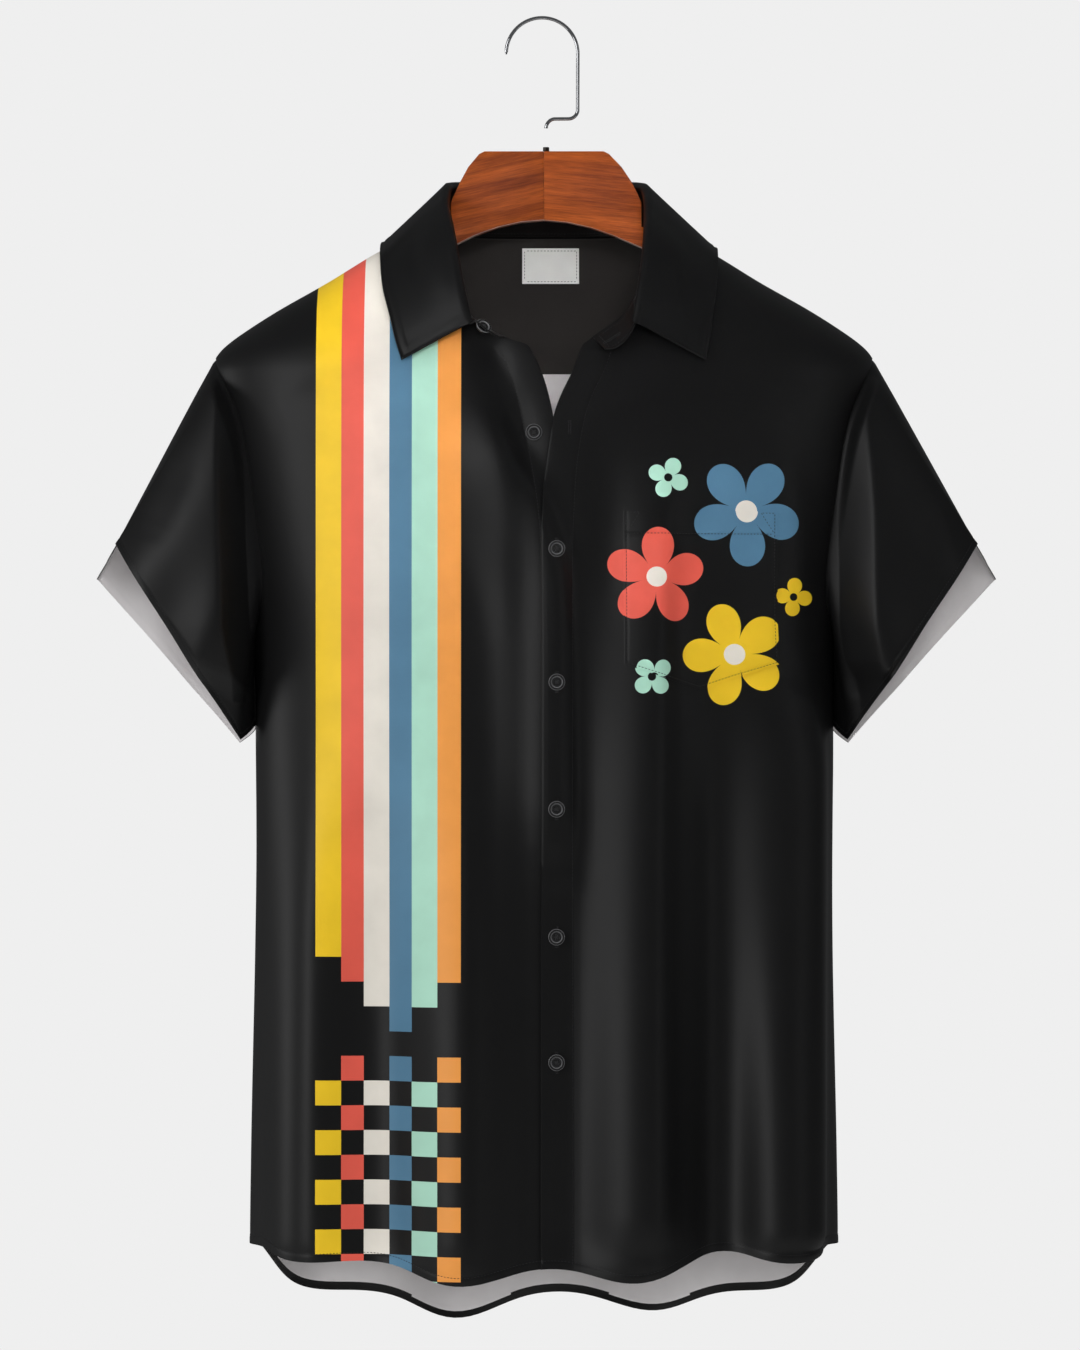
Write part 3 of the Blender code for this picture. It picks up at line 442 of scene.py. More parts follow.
def flowerGroup():
    # a plain flower of round petals: a mask for the petals and one for the eye
    group, nodes, given, out = newGroup(
        "petalFlower",
        [("Flat", "NodeSocketVector"), ("X", "NodeSocketFloat"), ("Z", "NodeSocketFloat"),
         ("Radius", "NodeSocketFloat"), ("Petals", "NodeSocketFloat"), ("Turn", "NodeSocketFloat")],
        [("Petal", "NodeSocketFloat"), ("Eye", "NodeSocketFloat")],
    )
    x, z, _ = nodes.split(given["Flat"])
    x, z = nodes.math("SUBTRACT", x, given["X"]), nodes.math("SUBTRACT", z, given["Z"])
    reach = nodes.math("SQRT", nodes.math("ADD", nodes.math("MULTIPLY", x, x), nodes.math("MULTIPLY", z, z)))
    turn = nodes.math("ADD", nodes.math("ARCTAN2", z, x), given["Turn"])
    wave = nodes.math("ABSOLUTE", nodes.math("COSINE", nodes.math("MULTIPLY", turn, given["Petals"])))
    edge = nodes.math("MULTIPLY_ADD", nodes.math("POWER", wave, 0.55), 0.72, 0.28)
    share = nodes.math("DIVIDE", reach, given["Radius"])
    nodes.put(out["Petal"], nodes.math("LESS_THAN", share, edge))
    nodes.put(out["Eye"], nodes.math("LESS_THAN", share, 0.20))
    return group


def newMaterial(name):
    made = bpy.data.materials.new(name)
    made.use_nodes = True
    return made, Nodes(made.node_tree), made.node_tree.nodes["Principled BSDF"]


def stripeColour(nodes, x, z):
    # six upright stripes with stepped ends, and a plain check of squares below them
    edges, black = stripes["edges"], palette["black"]
    low, high = -0.30, 0.30
    colours = [(low, black)] + [(e, palette[c]) for e,
                                c in zip(edges, stripes["colours"])] + [(edges[-1], black)]
    colour = nodes.steps(x, low, high, colours)
    inside = nodes.math("MULTIPLY", nodes.math("GREATER_THAN", x, edges[0]),
                        nodes.math("LESS_THAN", x, edges[-1]))
    ends = [(low, (0, 0, 0))] + [(e, (-h, -h, -h)) for e, h in zip(edges, stripes["ends"])]
    depth = nodes.math("MULTIPLY", z, -1.0)
    run = nodes.math("LESS_THAN", depth, nodes.steps(x, low, high, ends))
    numbers = [(low, (0, 0, 0))] + [(e, (i % 2,) * 3) for i, e in enumerate(edges[:-1])]
    column = nodes.steps(x, low, high, numbers)
    row = nodes.math("FLOOR",
                     nodes.math("DIVIDE", nodes.math("ADD", depth, stripes["checkTop"]),
                                stripes["checkStep"]))
    odd = nodes.math("GREATER_THAN", nodes.math("FLOORED_MODULO", nodes.math("ADD", row, column), 2.0), 0.5)
    check = nodes.math("MULTIPLY", odd, nodes.math("GREATER_THAN", depth, -stripes["checkTop"]))
    share = nodes.math("MULTIPLY", inside, nodes.math("MAXIMUM", run, check))
    return nodes.mix(share, (*black, 1), colour)


smallFlower = 0.02  # up to this radius a flower's eye is left in the colour of the cloth
flowers = [  # x, z, radius, half the number of petals, turn, colour
    (0.147, -0.366, 0.040, 2.5, 0.3, "blue"), (0.080, -0.414, 0.036, 2.5, 1.0, "coral"),
    (0.138, -0.470, 0.038, 2.5, 0.6, "yellow"), (0.090, -0.342, 0.015, 2.0, 0.4, "mint"),
    (0.182, -0.428, 0.014, 2.0, 0.1, "yellow"), (0.078, -0.486, 0.015, 2.0, 0.8, "mint"),
]


def clothMaterial(name, base, printed=None, roughness=0.45, specular=0.30, sheen=0.0):
    made, nodes, shader = newMaterial(name)
    flat = nodes.add("ShaderNodeUVMap", uv_map="flat").outputs[0]
    weave = nodes.add("ShaderNodeGroup", node_tree=groups["weave"])
    nodes.put(weave.inputs["Flat"], flat)
    weave.inputs["Pitch"].default_value = cloth["weavePitch"]
    colour = (*base, 1)
    if printed == "stripes":
        x, z, _ = nodes.split(flat)
        colour = stripeColour(nodes, x, z)
    if printed == "flowers":
        for fx, fz, radius, petals, turn, tint in flowers:
            flower = nodes.add("ShaderNodeGroup", node_tree=groups["flower"])
            nodes.put(flower.inputs["Flat"], flat)
            for label, value in zip(("X", "Z", "Radius", "Petals", "Turn"), (fx, fz, radius, petals, turn)):
                flower.inputs[label].default_value = value
            colour = nodes.mix(flower.outputs["Petal"], colour, (*palette[tint], 1))
            eye = palette["cream"] if radius > smallFlower else base
            colour = nodes.mix(flower.outputs["Eye"], colour, (*eye, 1))
    toned = nodes.add("ShaderNodeHueSaturation", {"Value": weave.outputs["Tone"]})
    nodes.put(toned.inputs["Color"], colour)
    nodes.put(shader.inputs["Base Color"], toned.outputs[0])
    relief = nodes.add("ShaderNodeBump",
                       {"Strength": 0.10, "Distance": 0.0001, "Height": weave.outputs["Height"]})
    nodes.put(shader.inputs["Normal"], relief.outputs[0])
    shader.inputs["Roughness"].default_value = roughness
    shader.inputs["Specular IOR Level"].default_value = specular
    shader.inputs["Sheen Weight"].default_value = sheen
    shader.inputs["Sheen Roughness"].default_value = 0.4
    return made


def solidMaterial(name, base, roughness, metallic=0.0, specular=0.5, mottle=0.3):
    # one hard finish, with slight clouds in its colour and gloss
    made, nodes, shader = newMaterial(name)
    place = nodes.add("ShaderNodeTexCoord").outputs["Object"]
    cloud = nodes.add("ShaderNodeTexNoise", {"Vector": place, "Scale": 900.0, "Detail": 4.0}).outputs[0]
    value = nodes.math("MULTIPLY_ADD", cloud, mottle, 1 - mottle / 2)
    toned = nodes.add("ShaderNodeHueSaturation", {"Color": (*base, 1), "Value": value})
    nodes.put(shader.inputs["Base Color"], toned.outputs[0])
    nodes.put(shader.inputs["Roughness"], nodes.math("MULTIPLY_ADD", cloud, 0.4 * roughness, 0.8 * roughness))
    shader.inputs["Metallic"].default_value = metallic
    shader.inputs["Specular IOR Level"].default_value = specular
    return made


def grainGroup():
    # long wood grain with pores and slow bands, along X of what it is given
    group, nodes, given, out = newGroup(
        "woodGrain", [("Place", "NodeSocketVector")],
        [("Band", "NodeSocketFloat"), ("Pore", "NodeSocketFloat")],
    )
    broad = nodes.add("ShaderNodeMapping", {"Vector": given["Place"], "Scale": (5.0, 90.0, 120.0)})
    bands = nodes.add("ShaderNodeTexNoise",
                      {"Vector": broad.outputs[0], "Scale": 1.6, "Detail": 6.0, "Distortion": 0.25})
    fine = nodes.add("ShaderNodeMapping", {"Vector": given["Place"], "Scale": (60.0, 900.0, 1100.0)})
    pores = nodes.add("ShaderNodeTexNoise", {"Vector": fine.outputs[0], "Scale": 1.5, "Detail": 5.0})
    nodes.put(out["Band"], nodes.math("MULTIPLY_ADD", bands.outputs[0], 2.2, -0.6))
    nodes.put(out["Pore"], nodes.math("MULTIPLY_ADD", pores.outputs[0], 3.0, -1.0))
    return group


def woodMaterial(name, slant, value):
    made, nodes, shader = newMaterial(name)
    place = nodes.add("ShaderNodeTexCoord").outputs["Object"]
    turned = nodes.add("ShaderNodeMapping", {"Vector": place, "Rotation": (0, slant, 0)}).outputs[0]
    grain = nodes.add("ShaderNodeGroup", node_tree=groups["grain"])
    nodes.put(grain.inputs["Place"], turned)
    band, pore = (
        nodes.math("MINIMUM", nodes.math("MAXIMUM", grain.outputs[part], 0.0), 1.0)
        for part in ("Band", "Pore")
    )
    colour = nodes.mix(band, (*wood["dark"], 1), (*wood["light"], 1))
    colour = nodes.mix(nodes.math("MULTIPLY", pore, 0.45), colour, (*wood["pore"], 1))
    # bevel faces that tilt down get a paler colour: a painted highlight along the underside of the arms
    _, _, up = nodes.split(nodes.add("ShaderNodeNewGeometry").outputs["Normal"])
    worn = nodes.math("MULTIPLY", nodes.math("LESS_THAN", up, -0.45), nodes.math("GREATER_THAN", up, -0.92))
    colour = nodes.mix(nodes.math("MULTIPLY", worn, 0.85), colour, (*wood["worn"], 1))
    toned = nodes.add("ShaderNodeHueSaturation", {"Color": colour, "Value": value})
    nodes.put(shader.inputs["Base Color"], toned.outputs[0])
    nodes.put(shader.inputs["Roughness"], nodes.math("MULTIPLY_ADD", pore, 0.16, 0.42))
    relief = nodes.add("ShaderNodeBump", {"Strength": 0.15, "Distance": 0.0002, "Height": pore})
    nodes.put(shader.inputs["Normal"], relief.outputs[0])
    shader.inputs["Specular IOR Level"].default_value = 0.22
    shader.inputs["Coat Weight"].default_value = 0.04
    shader.inputs["Coat Roughness"].default_value = 0.30
    return made


# the paler worn colour is a painted highlight on the down-facing bevel, not real wear
wood = {"dark": (0.160, 0.026, 0.006), "light": (0.540, 0.120, 0.012), "pore": (0.070, 0.014, 0.006),
        "worn": (0.620, 0.470, 0.410)}
groups = {"weave": weaveGroup(), "flower": flowerGroup(), "grain": grainGroup()}
finishes = {
    "plain": clothMaterial("blackPolyester", palette["black"]),
    "stripes": clothMaterial("stripedPolyester", palette["black"], "stripes"),
    "flowers": clothMaterial("floweredPolyester", palette["black"], "flowers"),
    "reverse": clothMaterial("paleReverse", palette["reverse"], roughness=0.8, specular=0.15, sheen=0.1),
    "lining": clothMaterial("yokeLining", palette["lining"], roughness=0.7, specular=0.2, sheen=0.1),
    "label": clothMaterial("greyTape", palette["tape"], roughness=0.8, specular=0.15, sheen=0.1),
    "thread": solidMaterial("blackThread", (0.0220, 0.0220, 0.0230), 0.50, specular=0.30),
    "button": solidMaterial("blackResin", (0.0130, 0.0130, 0.0135), 0.26, mottle=0.4),
    # a paler resin for the buttons' rims and dish slopes: a painted highlight
    "buttonEdge": solidMaterial("paleResinEdge", (0.140, 0.140, 0.145), 0.30, mottle=0.2),
    "chrome": solidMaterial("chromedWire", (0.60, 0.61, 0.63), 0.10, metallic=1.0, mottle=0.15),
    "steel": solidMaterial("darkSteel", (0.06, 0.055, 0.05), 0.40, metallic=1.0, mottle=0.4),
    "woodLeft": woodMaterial("stainedWoodLeft", -0.10, 1.12),
    "woodRight": woodMaterial("stainedWoodRight", 0.22, 0.96),
}
print("materials made")


# ---- cloth sheets

def lengths(points, axis):
    # how far each point of a grid is from the start of its row or column
    step = np.linalg.norm(np.diff(points, axis=axis), axis=-1)
    start = np.zeros_like(step.take([0], axis=axis))
    return np.cumsum(np.concatenate([start, step], axis=axis), axis=axis)


def bothWays(points, axis):
    # the same, and how far each point is from the end
    fromStart = lengths(points, axis)
    return fromStart, fromStart.take([-1], axis=axis) - fromStart


def seamRoll(distance):
    return -cloth["rolled"] * bump(distance, cloth["rollWidth"])


def foldedEdge(distance, radius):
    # the round of a folded edge
    inside = np.clip((radius - distance) / radius, 0, 1)
    return -radius * (1 - np.sqrt(1 - inside**2))


def hemRelief(distance, depth):
    rise = cloth["hemRise"] * ease((depth - distance) / cloth["hemStep"])
    return rise - cloth["groove"] * bump(distance - depth + cloth["hemStitch"], cloth["grooveWidth"])


def meshFromGrid(name, points, flat, flip=False, closed=False):
    rows, columns = points.shape[:2]
    r, c = np.meshgrid(np.arange(rows - 1), np.arange(columns if closed else columns - 1), indexing="ij")
    d = (c + 1) % columns
    corners = np.stack([r * columns + c, (r + 1) * columns + c, (r + 1) * columns + d, r * columns + d], -1)
    corners = corners.reshape(-1, 4)
    if flip:
        corners = corners[:, ::-1]
    mesh = bpy.data.meshes.new(name)
    mesh.from_pydata(points.reshape(-1, 3).tolist(), [], corners.tolist())
    layer = mesh.uv_layers.new(name="flat")
    spread = flat.reshape(-1, 2)[corners.ravel()]
    if closed:  # the last column meets the first one
        wrapped = (np.repeat(c.reshape(-1, 1), 4, 1) == columns - 1)
        around = flat[0, 1, 0] - flat[0, 0, 0]
        first = (corners % columns == 0) & wrapped
        spread[first.ravel(), 0] += around * columns
    layer.data.foreach_set("uv", spread.ravel())
    return addObject(name, mesh)


def makeSheet(name, points, flat, outside, inside, node, thick=None, flip=False, closed=False,
              turnedUp=None):
    obj = meshFromGrid(name, points, flat, flip, closed)
    obj.data.materials.append(finishes[outside])
    obj.data.materials.append(finishes[inside])
    if turnedUp is not None:  # where a hem or a seam is folded in, the face of the cloth shows inside
        obj.data.materials.append(finishes[outside])
        obj.data.materials.append(finishes["plain"])
        folded = turnedUp[:-1, :-1].ravel() & turnedUp[:-1, 1:].ravel()
        obj.data.polygons.foreach_set("material_index", (folded * 2).astype(np.int32))
    select(obj)
    modify(obj, "SOLIDIFY", thickness=thick or cloth["thick"], offset=-1.0, use_even_offset=True,
           material_offset=1, material_offset_rim=0)
    bpy.ops.object.shade_smooth_by_angle(angle=math.radians(cloth["smooth"]))
    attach(obj, "root")
    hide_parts(node)


thread = {
    "pitch": 0.0025, "length": 0.0019, "width": 0.00050, "lift": 0.00012, "probe": 0.0004,
    "holePitch": 0.00055, "holeGap": 0.00075, "holeStitch": 0.0012, "barHalf": 0.0011, "barStitches": 5,
    "barStitch": 0.0010,
}


def gridNormals(points):
    # rows run down and columns run towards the wearer's left in front
    return unit(np.cross(np.gradient(points, axis=0), np.gradient(points, axis=1)))


def crossing(points, normals, distance, at, across=False, keep=None):
    # the line where a distance over the grid reaches a value, one point for each row, or column if across
    if across:
        points, normals, distance = points.transpose(1, 0, 2), normals.transpose(1, 0, 2), distance.T
        keep = None if keep is None else keep.T
    line = []
    for i, far in enumerate(distance):
        hits = np.flatnonzero((far[:-1] - at) * (far[1:] - at) <= 0)
        if len(hits) and (keep is None or keep[i, hits[0]]):
            k = hits[0]
            t = (at - far[k]) / (far[k + 1] - far[k])
            pair = np.stack([points[i], normals[i]], 1)
            line.append(pair[k] * (1 - t) + pair[k + 1] * t)
    return np.array(line)


def along(line):
    # stitches in a row along a line of points with normals
    pitch, probe = thread["pitch"], thread["probe"]
    places, normals = line[:, 0], line[:, 1]
    reach = np.concatenate([[0], np.cumsum(np.linalg.norm(np.diff(places, axis=0), axis=1))])
    middles = (np.arange(int(reach[-1] / pitch)) + 0.5) * pitch

    def at(where, values):
        return np.stack([np.interp(where, reach, values[:, i]) for i in range(3)], -1)

    way = at(middles + probe, places) - at(middles - probe, places)
    return at(middles, places), unit(way), unit(at(middles, normals)), thread["length"]


def buttonhole(place, way, normal, size):
    # close stitches on both sides of a slit, and a bar at each end
    way, normal = unit(np.array(way)), unit(np.array(normal))
    side = np.cross(way, normal)
    ends, runs = (-size / 2, size / 2), np.arange(-size / 2, size / 2, thread["holePitch"])
    sides = (-thread["holeGap"], thread["holeGap"])
    gaps = np.linspace(-thread["barHalf"], thread["barHalf"], thread["barStitches"])
    middles = [place + way * run + side * gap for gap in sides for run in runs]
    bars = [place + way * end + side * gap for end in ends for gap in gaps]
    return [
        (np.array(places), np.tile(course, (len(places), 1)), np.tile(normal, (len(places), 1)), length)
        for places, course,
        length in ((middles, side, thread["holeStitch"]), (bars, way, thread["barStitch"]))
    ]


def oneStitch():
    bpy.ops.object.select_all(action="DESELECT")
    bpy.ops.mesh.primitive_ico_sphere_add(subdivisions=1, radius=0.5)
    ball = bpy.context.active_object
    points = np.array([v.co for v in ball.data.vertices])
    corners = np.array([f.vertices for f in ball.data.polygons])
    bpy.data.objects.remove(ball)
    return points, corners


def sew(name, runs):
    # one mesh of many stitches
    ball, corners = oneStitch()
    points = []
    for middles, ways, normals, size in runs:
        sides = unit(np.cross(ways, normals))
        ups = np.cross(sides, ways)
        stretched = (
            ways[:, None] * ball[None, :, 0:1] * size + sides[:, None] * ball[None, :, 1:2] * thread["width"]
            + ups[:, None] * ball[None, :, 2:3] * thread["width"]
        )
        points.append((middles + ups * thread["lift"])[:, None] + stretched)
    points = np.concatenate(points)
    faces = corners[None] + np.arange(len(points))[:, None, None] * len(ball)
    mesh = bpy.data.meshes.new(name)
    mesh.from_pydata(points.reshape(-1, 3).tolist(), [], faces.reshape(-1, 3).tolist())
    obj = addObject(name, mesh)
    mesh.materials.append(finishes["thread"])
    select(obj)
    bpy.ops.object.shade_smooth()
    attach(obj, "root")


# where a sheet has extra rows or columns, from its edge
near = {
    "seam": [0.0008, 0.002, 0.004], "armpit": [0.001, 0.0025],
    "hem": [0.0005, 0.0015, 0.003, 0.005, 0.0065, 0.008, 0.010],
    "placket": [0.0008, 0.002, 0.004, 0.019, 0.0205, 0.0215, 0.0225, 0.024],
    "cuff": [0.0008, 0.0185, 0.020, 0.0215],
    "pocket": [0.0008, 0.0016, 0.003, 0.005, 0.0065], "pocketTop": [0.0008, 0.0155, 0.0165, 0.0175],
}


def gradedShares(count, startSteps, endSteps, width):
    # shares of a width: count even steps, and extra ones near its start and end
    inner = np.linspace(0, 1, count + 1)
    start = np.array(startSteps) / width
    end = 1 - np.array(endSteps) / width
    return np.unique(np.round(np.concatenate([inner, start, end]), 6))


def frontGrid(side):
    # angle and height of each point of a front; side 1 is the wearer's left
    column = "left" if side > 0 else "right"
    neckRows = [z for z in frontEdge["z"][::-1] if z >= body["neckCorner"]]
    topRows = finer(neckRows + list(armholeHeights()), 4)
    shares = gradedShares(110, near["armpit"], near["hem"], 0.46)[1:]
    across = gradedShares(64, near["placket"], near["seam"], 0.29)
    hemShare = np.concatenate([np.zeros(len(topRows)), shares])[:, None]
    topHeight = np.concatenate([topRows, np.full(len(shares), body["armpit"])])[:, None]
    z = np.repeat(topHeight, len(across), 1)
    for _ in range(4):
        edge = frontAngle(readTable(frontEdge, column, z), z)
        angle = edge + (side * frontSide(z) - edge) * across[None]
        z = topHeight + (hemHeight(angle) - topHeight) * hemShare
    if side < 0:
        angle, z = angle[:, ::-1], z[:, ::-1]
    return angle, z


lap = {"depth": 0.0030, "start": -0.032, "width": 0.020, "fall": 0.040}


def lapPush(x, z):
    # the right front goes in where the left one lies over it
    across, down = ease((x - lap["start"]) / lap["width"]), ease((body["neckCorner"] - z) / lap["fall"])
    return -lap["depth"] * across * down


placket = {"band": 0.0245, "stitch": 0.0230, "rise": 0.0003, "fold": 0.0012, "edge": 0.0015,
           "stitchWidth": 0.0009, "start": 0.004, "straightFrom": 0.9, "hemGap": 0.001}
buttonHoles = {"x": 0.0090, "z": [-0.394, -0.490, -0.582, -0.675, -0.766], "size": 0.0150,
               "top": (0.0185, -0.308)}


def frontPush(side, x, z, fromEdge, straight):
    band = ease((placket["band"] - fromEdge) / placket["edge"]) * straight
    groove = bump(fromEdge - placket["stitch"], placket["stitchWidth"])
    push = placket["rise"] * band - cloth["groove"] * groove * straight
    push = push + foldedEdge(fromEdge, placket["fold"]) * straight
    return push + (lapPush(x, z) if side < 0 else 0.0)


def makeFront(side):
    angle, z = frontGrid(side)
    point = onBody(angle, z)
    fromEdge, fromSide = bothWays(point, 1)
    if side < 0:
        fromEdge, fromSide = fromSide, fromEdge
    fromTop, fromHem = bothWays(point, 0)
    straight = ease((body["neckCorner"] - z) / placket["start"])
    push = frontPush(side, point[..., 0], z, fromEdge, straight)
    push = push + seamRoll(fromSide) + seamRoll(fromTop) + hemRelief(fromHem, cloth["hem"])
    points = onCloth(angle, z, push)
    flat = np.stack([points[..., 0], point[..., 2]], -1)
    name, printed = ("left", "flowers") if side > 0 else ("right", "stripes")
    makeSheet(name + "FrontCloth", points, flat, printed, "reverse", name + "_front",
              turnedUp=(fromHem < cloth["hem"] - cloth["hemEdge"]) | (fromSide < cloth["allowance"]))
    normals = gridNormals(points)
    onBand = (straight > placket["straightFrom"]) & (fromHem > placket["hemGap"])
    runs = [
        along(crossing(points, normals, fromHem, cloth["hem"] - cloth["hemStitch"], across=True)),
        along(crossing(points, normals, fromEdge, placket["stitch"], keep=onBand)),
    ]
    if side > 0:
        places = [(buttonHoles["x"], z) for z in buttonHoles["z"]] + [buttonHoles["top"]]
        for x, z in places:
            at = frontAngle(x, z)
            runs += buttonhole(onCloth(at, z, placket["rise"]), (0.0, 0.0, 1.0), bodyNormal(at, z),
                               buttonHoles["size"])
    sew(name + "FrontStitches", runs)


def makeBack():
    tips = armholeHeights()[2:]
    side = finer(tips, 5)
    shares = gradedShares(100, near["armpit"], near["hem"], 0.5)[1:]
    across = gradedShares(120, near["seam"], near["seam"], 0.52)
    fade = ((side - body["armpit"]) / (side[0] - body["armpit"]))[:, None]
    middle = (2 * across[None] - 1) ** 2
    seamHeight = body["yokeSeam"] + (tips[0] - body["yokeSeam"]) * middle
    top = side[:, None] + (seamHeight - side[0]) * fade - body["seam"] / 2 * fade
    z = np.concatenate([top, np.full((len(shares), len(across)), body["armpit"])])
    hemShare = np.concatenate([np.zeros(len(side)), shares])[:, None]
    start = z.copy()
    for _ in range(3):
        low = backSide(z)
        angle = low + (360 - 2 * low) * across[None]
        z = start + (hemHeight(angle) - start) * hemShare
    point = onBody(angle, z)
    fromStart, fromEnd = bothWays(point, 1)
    fromTop, fromHem = bothWays(point, 0)
    push = seamRoll(fromStart) + seamRoll(fromEnd) + seamRoll(fromTop) + hemRelief(fromHem, cloth["hem"])
    points = onCloth(angle, z, push)
    flat = np.stack([fromStart - fromStart[:, -1:] / 2, point[..., 2]], -1)
    inSeam = np.minimum(fromStart, fromEnd) < cloth["allowance"]
    makeSheet("backCloth", points, flat, "plain", "reverse", "back",
              turnedUp=(fromHem < cloth["hem"] - cloth["hemEdge"]) | inSeam)
    hem = crossing(points, gridNormals(points), fromHem, cloth["hem"] - cloth["hemStitch"], across=True)
    sew("backStitches", [along(hem)])


yokeRows = [-0.149, -0.168, -0.190, -0.210, -0.226, -0.240, -0.251]
yoke = {"fromArmhole": 0.004, "stitch": 0.0022, "edgeShares": [0.01, 0.025, 0.975, 0.99]}


def yokeGrid():
    rows = finer(yokeRows + list(armholeHeights()[1:3]), 6)
    across = gradedShares(110, near["seam"], near["seam"], 0.5)
    down = ((rows[0] - rows) / (rows[0] - rows[-1]))[:, None]
    down = np.unique(np.concatenate([down[:, 0], yoke["edgeShares"]]))[:, None]
    middle = abs(2 * across[None] - 1)
    top = body["backNeck"] + (body["neck"] - body["backNeck"]) * middle**2.5
    seamHeight = body["yokeSeam"] + (armholeHeights()[2] - body["yokeSeam"]) * middle**2
    z = top + (seamHeight + body["seam"] / 2 - top) * down
    low = backSide(z)
    return low + (360 - 2 * low) * across[None], z


def makeYokes():
    angle, z = yokeGrid()
    point = onBody(angle, z)
    fromStart, fromEnd = bothWays(point, 1)
    _, fromSeam = bothWays(point, 0)
    push = seamRoll(fromStart) + seamRoll(fromEnd) + seamRoll(fromSeam)
    flat = np.stack([fromStart - fromStart[:, -1:] / 2, point[..., 2]], -1)
    points = onCloth(angle, z, push)
    makeSheet("yokeCloth", points, flat, "plain", "plain", "yoke")
    normals = gridNormals(points)
    inner = (fromStart > yoke["fromArmhole"]) & (fromEnd > yoke["fromArmhole"])
    sew("yokeStitches", [along(crossing(points, normals, fromSeam, yoke["stitch"], across=True, keep=inner))])
    inward = -(body["clothSolid"] + body["lie"])
    makeSheet("innerYokeCloth", onCloth(angle, z, inward), flat, "lining", "lining", "inner_yoke")


for side in (1, -1):
    makeFront(side)
makeBack()
makeYokes()
print("fronts, back and yokes made")


# ---- sleeves

sleeve = {
    "frontHem": [(0.3180, -0.3890), (0.2235, -0.5324)], "backHem": [(0.3325, -0.4140), (0.2262, -0.5352)],
    "outerMove": {"left": (0.0, 0.0035), "right": (-0.0037, 0.0)},
    "halfDepth": 0.050, "squared": 1.155, "fullness": 0.66, "turnOver": 0.30, "belly": 0.007, "clear": 0.0004,
    "tuckDown": 0.0016, "tuckIn": 0.0012, "tuckWidth": 0.0018, "rows": 84, "round": 228, "hem": 0.0052,
    "cornerTurn": 0.866, "cornerLift": 0.0112, "cornerFrom": 0.6, "upperBulge": 0.25, "clearBy": 0.25,
    "sideLimit": 0.9,
    "length": 0.16, "flatRadius": 0.065, "edgeFade": (0.001, 0.016), "seamFade": 0.014, "ridgeSoft": 0.05,
    "ridgeStart": 0.030,
}
sleeveFolds = {"angle": [104, 58, 256, 304], "width": [15, 18, 15, 18], "depth": [0.007, 0.004, 0.006, 0.004],
               "start": [0.15, 0.40, 0.20, 0.45]}
# a flat side rises to a pressed ridge that runs down from the shoulder to a corner, and ends at a line from
# there to the hem, or past the hem on the left one; given as if on the wearer's left, with how wide the flat
# side, the ridge's inner side and the end are
pressed = {
    "left": {"ridge": [(0.236, -0.250), (0.238, -0.305), (0.241, -0.367), (0.243, -0.450), (0.247, -0.475),
                       (0.256, -0.490), (0.264, -0.540)],
             "end": [(0.20, -0.62), (0.32, -0.62)], "depth": 0.0125, "flat": 0.074, "inner": 0.026,
             "drop": 0.020},
    "right": {"ridge": [(0.2405, -0.250), (0.2400, -0.305), (0.2385, -0.380), (0.2360, -0.450),
                        (0.2285, -0.485)],
              "end": [(0.2285, -0.485), (0.2531, -0.4695), (0.2840, -0.4221), (0.3070, -0.4029)],
              "depth": 0.0160, "flat": 0.086, "inner": 0.020, "drop": 0.020},
}
sleeveCreases = {
    "left": {
        "front": [
            crease(0.0056, (0.014, 0.004), [(0.25, -0.492), (0.284, -0.4406)], fade=(0.1, 0.4), bends=1,
                   crest=0.0008),
            crease(-0.0016, (0.006, 0.006), [(0.224, -0.484), (0.23, -0.5)]),
            crease(-0.0014, (0.012, 0.014), [(0.258, -0.32), (0.276, -0.37), (0.286, -0.41)]),
        ],
        "back": [
            crease(0.0055, (0.024, 0.016), [(0.234, -0.264), (0.238, -0.33), (0.236, -0.44),
                   (0.252, -0.47)], fade=(0.25, 0.2)),
            crease(-0.0016, (0.012, 0.012), [(0.262, -0.31), (0.28, -0.38)]),
        ],
    },
    "right": {
        "front": [
            crease(-0.0026, (0.014, 0.016), [(0.262, -0.318), (0.276, -0.352), (0.292, -0.396)]),
            crease(-0.0008, (0.0022, 0.0024), [(0.2415, -0.247), (0.237, -0.268)]),
            crease(-0.0007, (0.0022, 0.0024), [(0.235, -0.252), (0.233, -0.272)]),
        ],
        "back": [
            crease(0.0055, (0.026, 0.016), [(0.236, -0.262), (0.243, -0.35), (0.24, -0.446),
                   (0.262, -0.47)], fade=(0.25, 0.2)),
            crease(-0.0018, (0.011, 0.013), [(0.268, -0.33), (0.284, -0.392)]),
        ],
    },
}


def pressedHeight(places, fold):
    x, z = places[:, 0], places[:, 1]
    ridge, end = np.array(fold["ridge"])[::-1], np.array(fold["end"])
    out = x - np.interp(z, ridge[:, 1], ridge[:, 0])
    above = z - np.interp(x, end[:, 0], end[:, 1])
    sides = np.stack([1 - out / fold["flat"], 1 + out / fold["inner"], 1 + above / fold["drop"]])
    soft = sleeve["ridgeSoft"]
    lowest = sides.min(0)
    height = lowest - soft * np.log(np.exp((lowest - sides) / soft).sum(0))
    return fold["depth"] * np.maximum(height, 0) * ease((ridge[-1, 1] - z) / sleeve["ridgeStart"])


def armholeRing(count):
    turn = np.arange(count) / count
    along = np.where(turn <= 0.5, 2 * turn, 2 - 2 * turn)
    z = armholeHeight(along)
    angle = np.where(turn <= 0.5, frontSide(z), backSide(z))
    point, normal = onBody(angle, z), bodyNormal(angle, z)
    course = np.roll(point, -1, 0) - np.roll(point, 1, 0)
    return point, normal, unit(np.cross(normal, course))


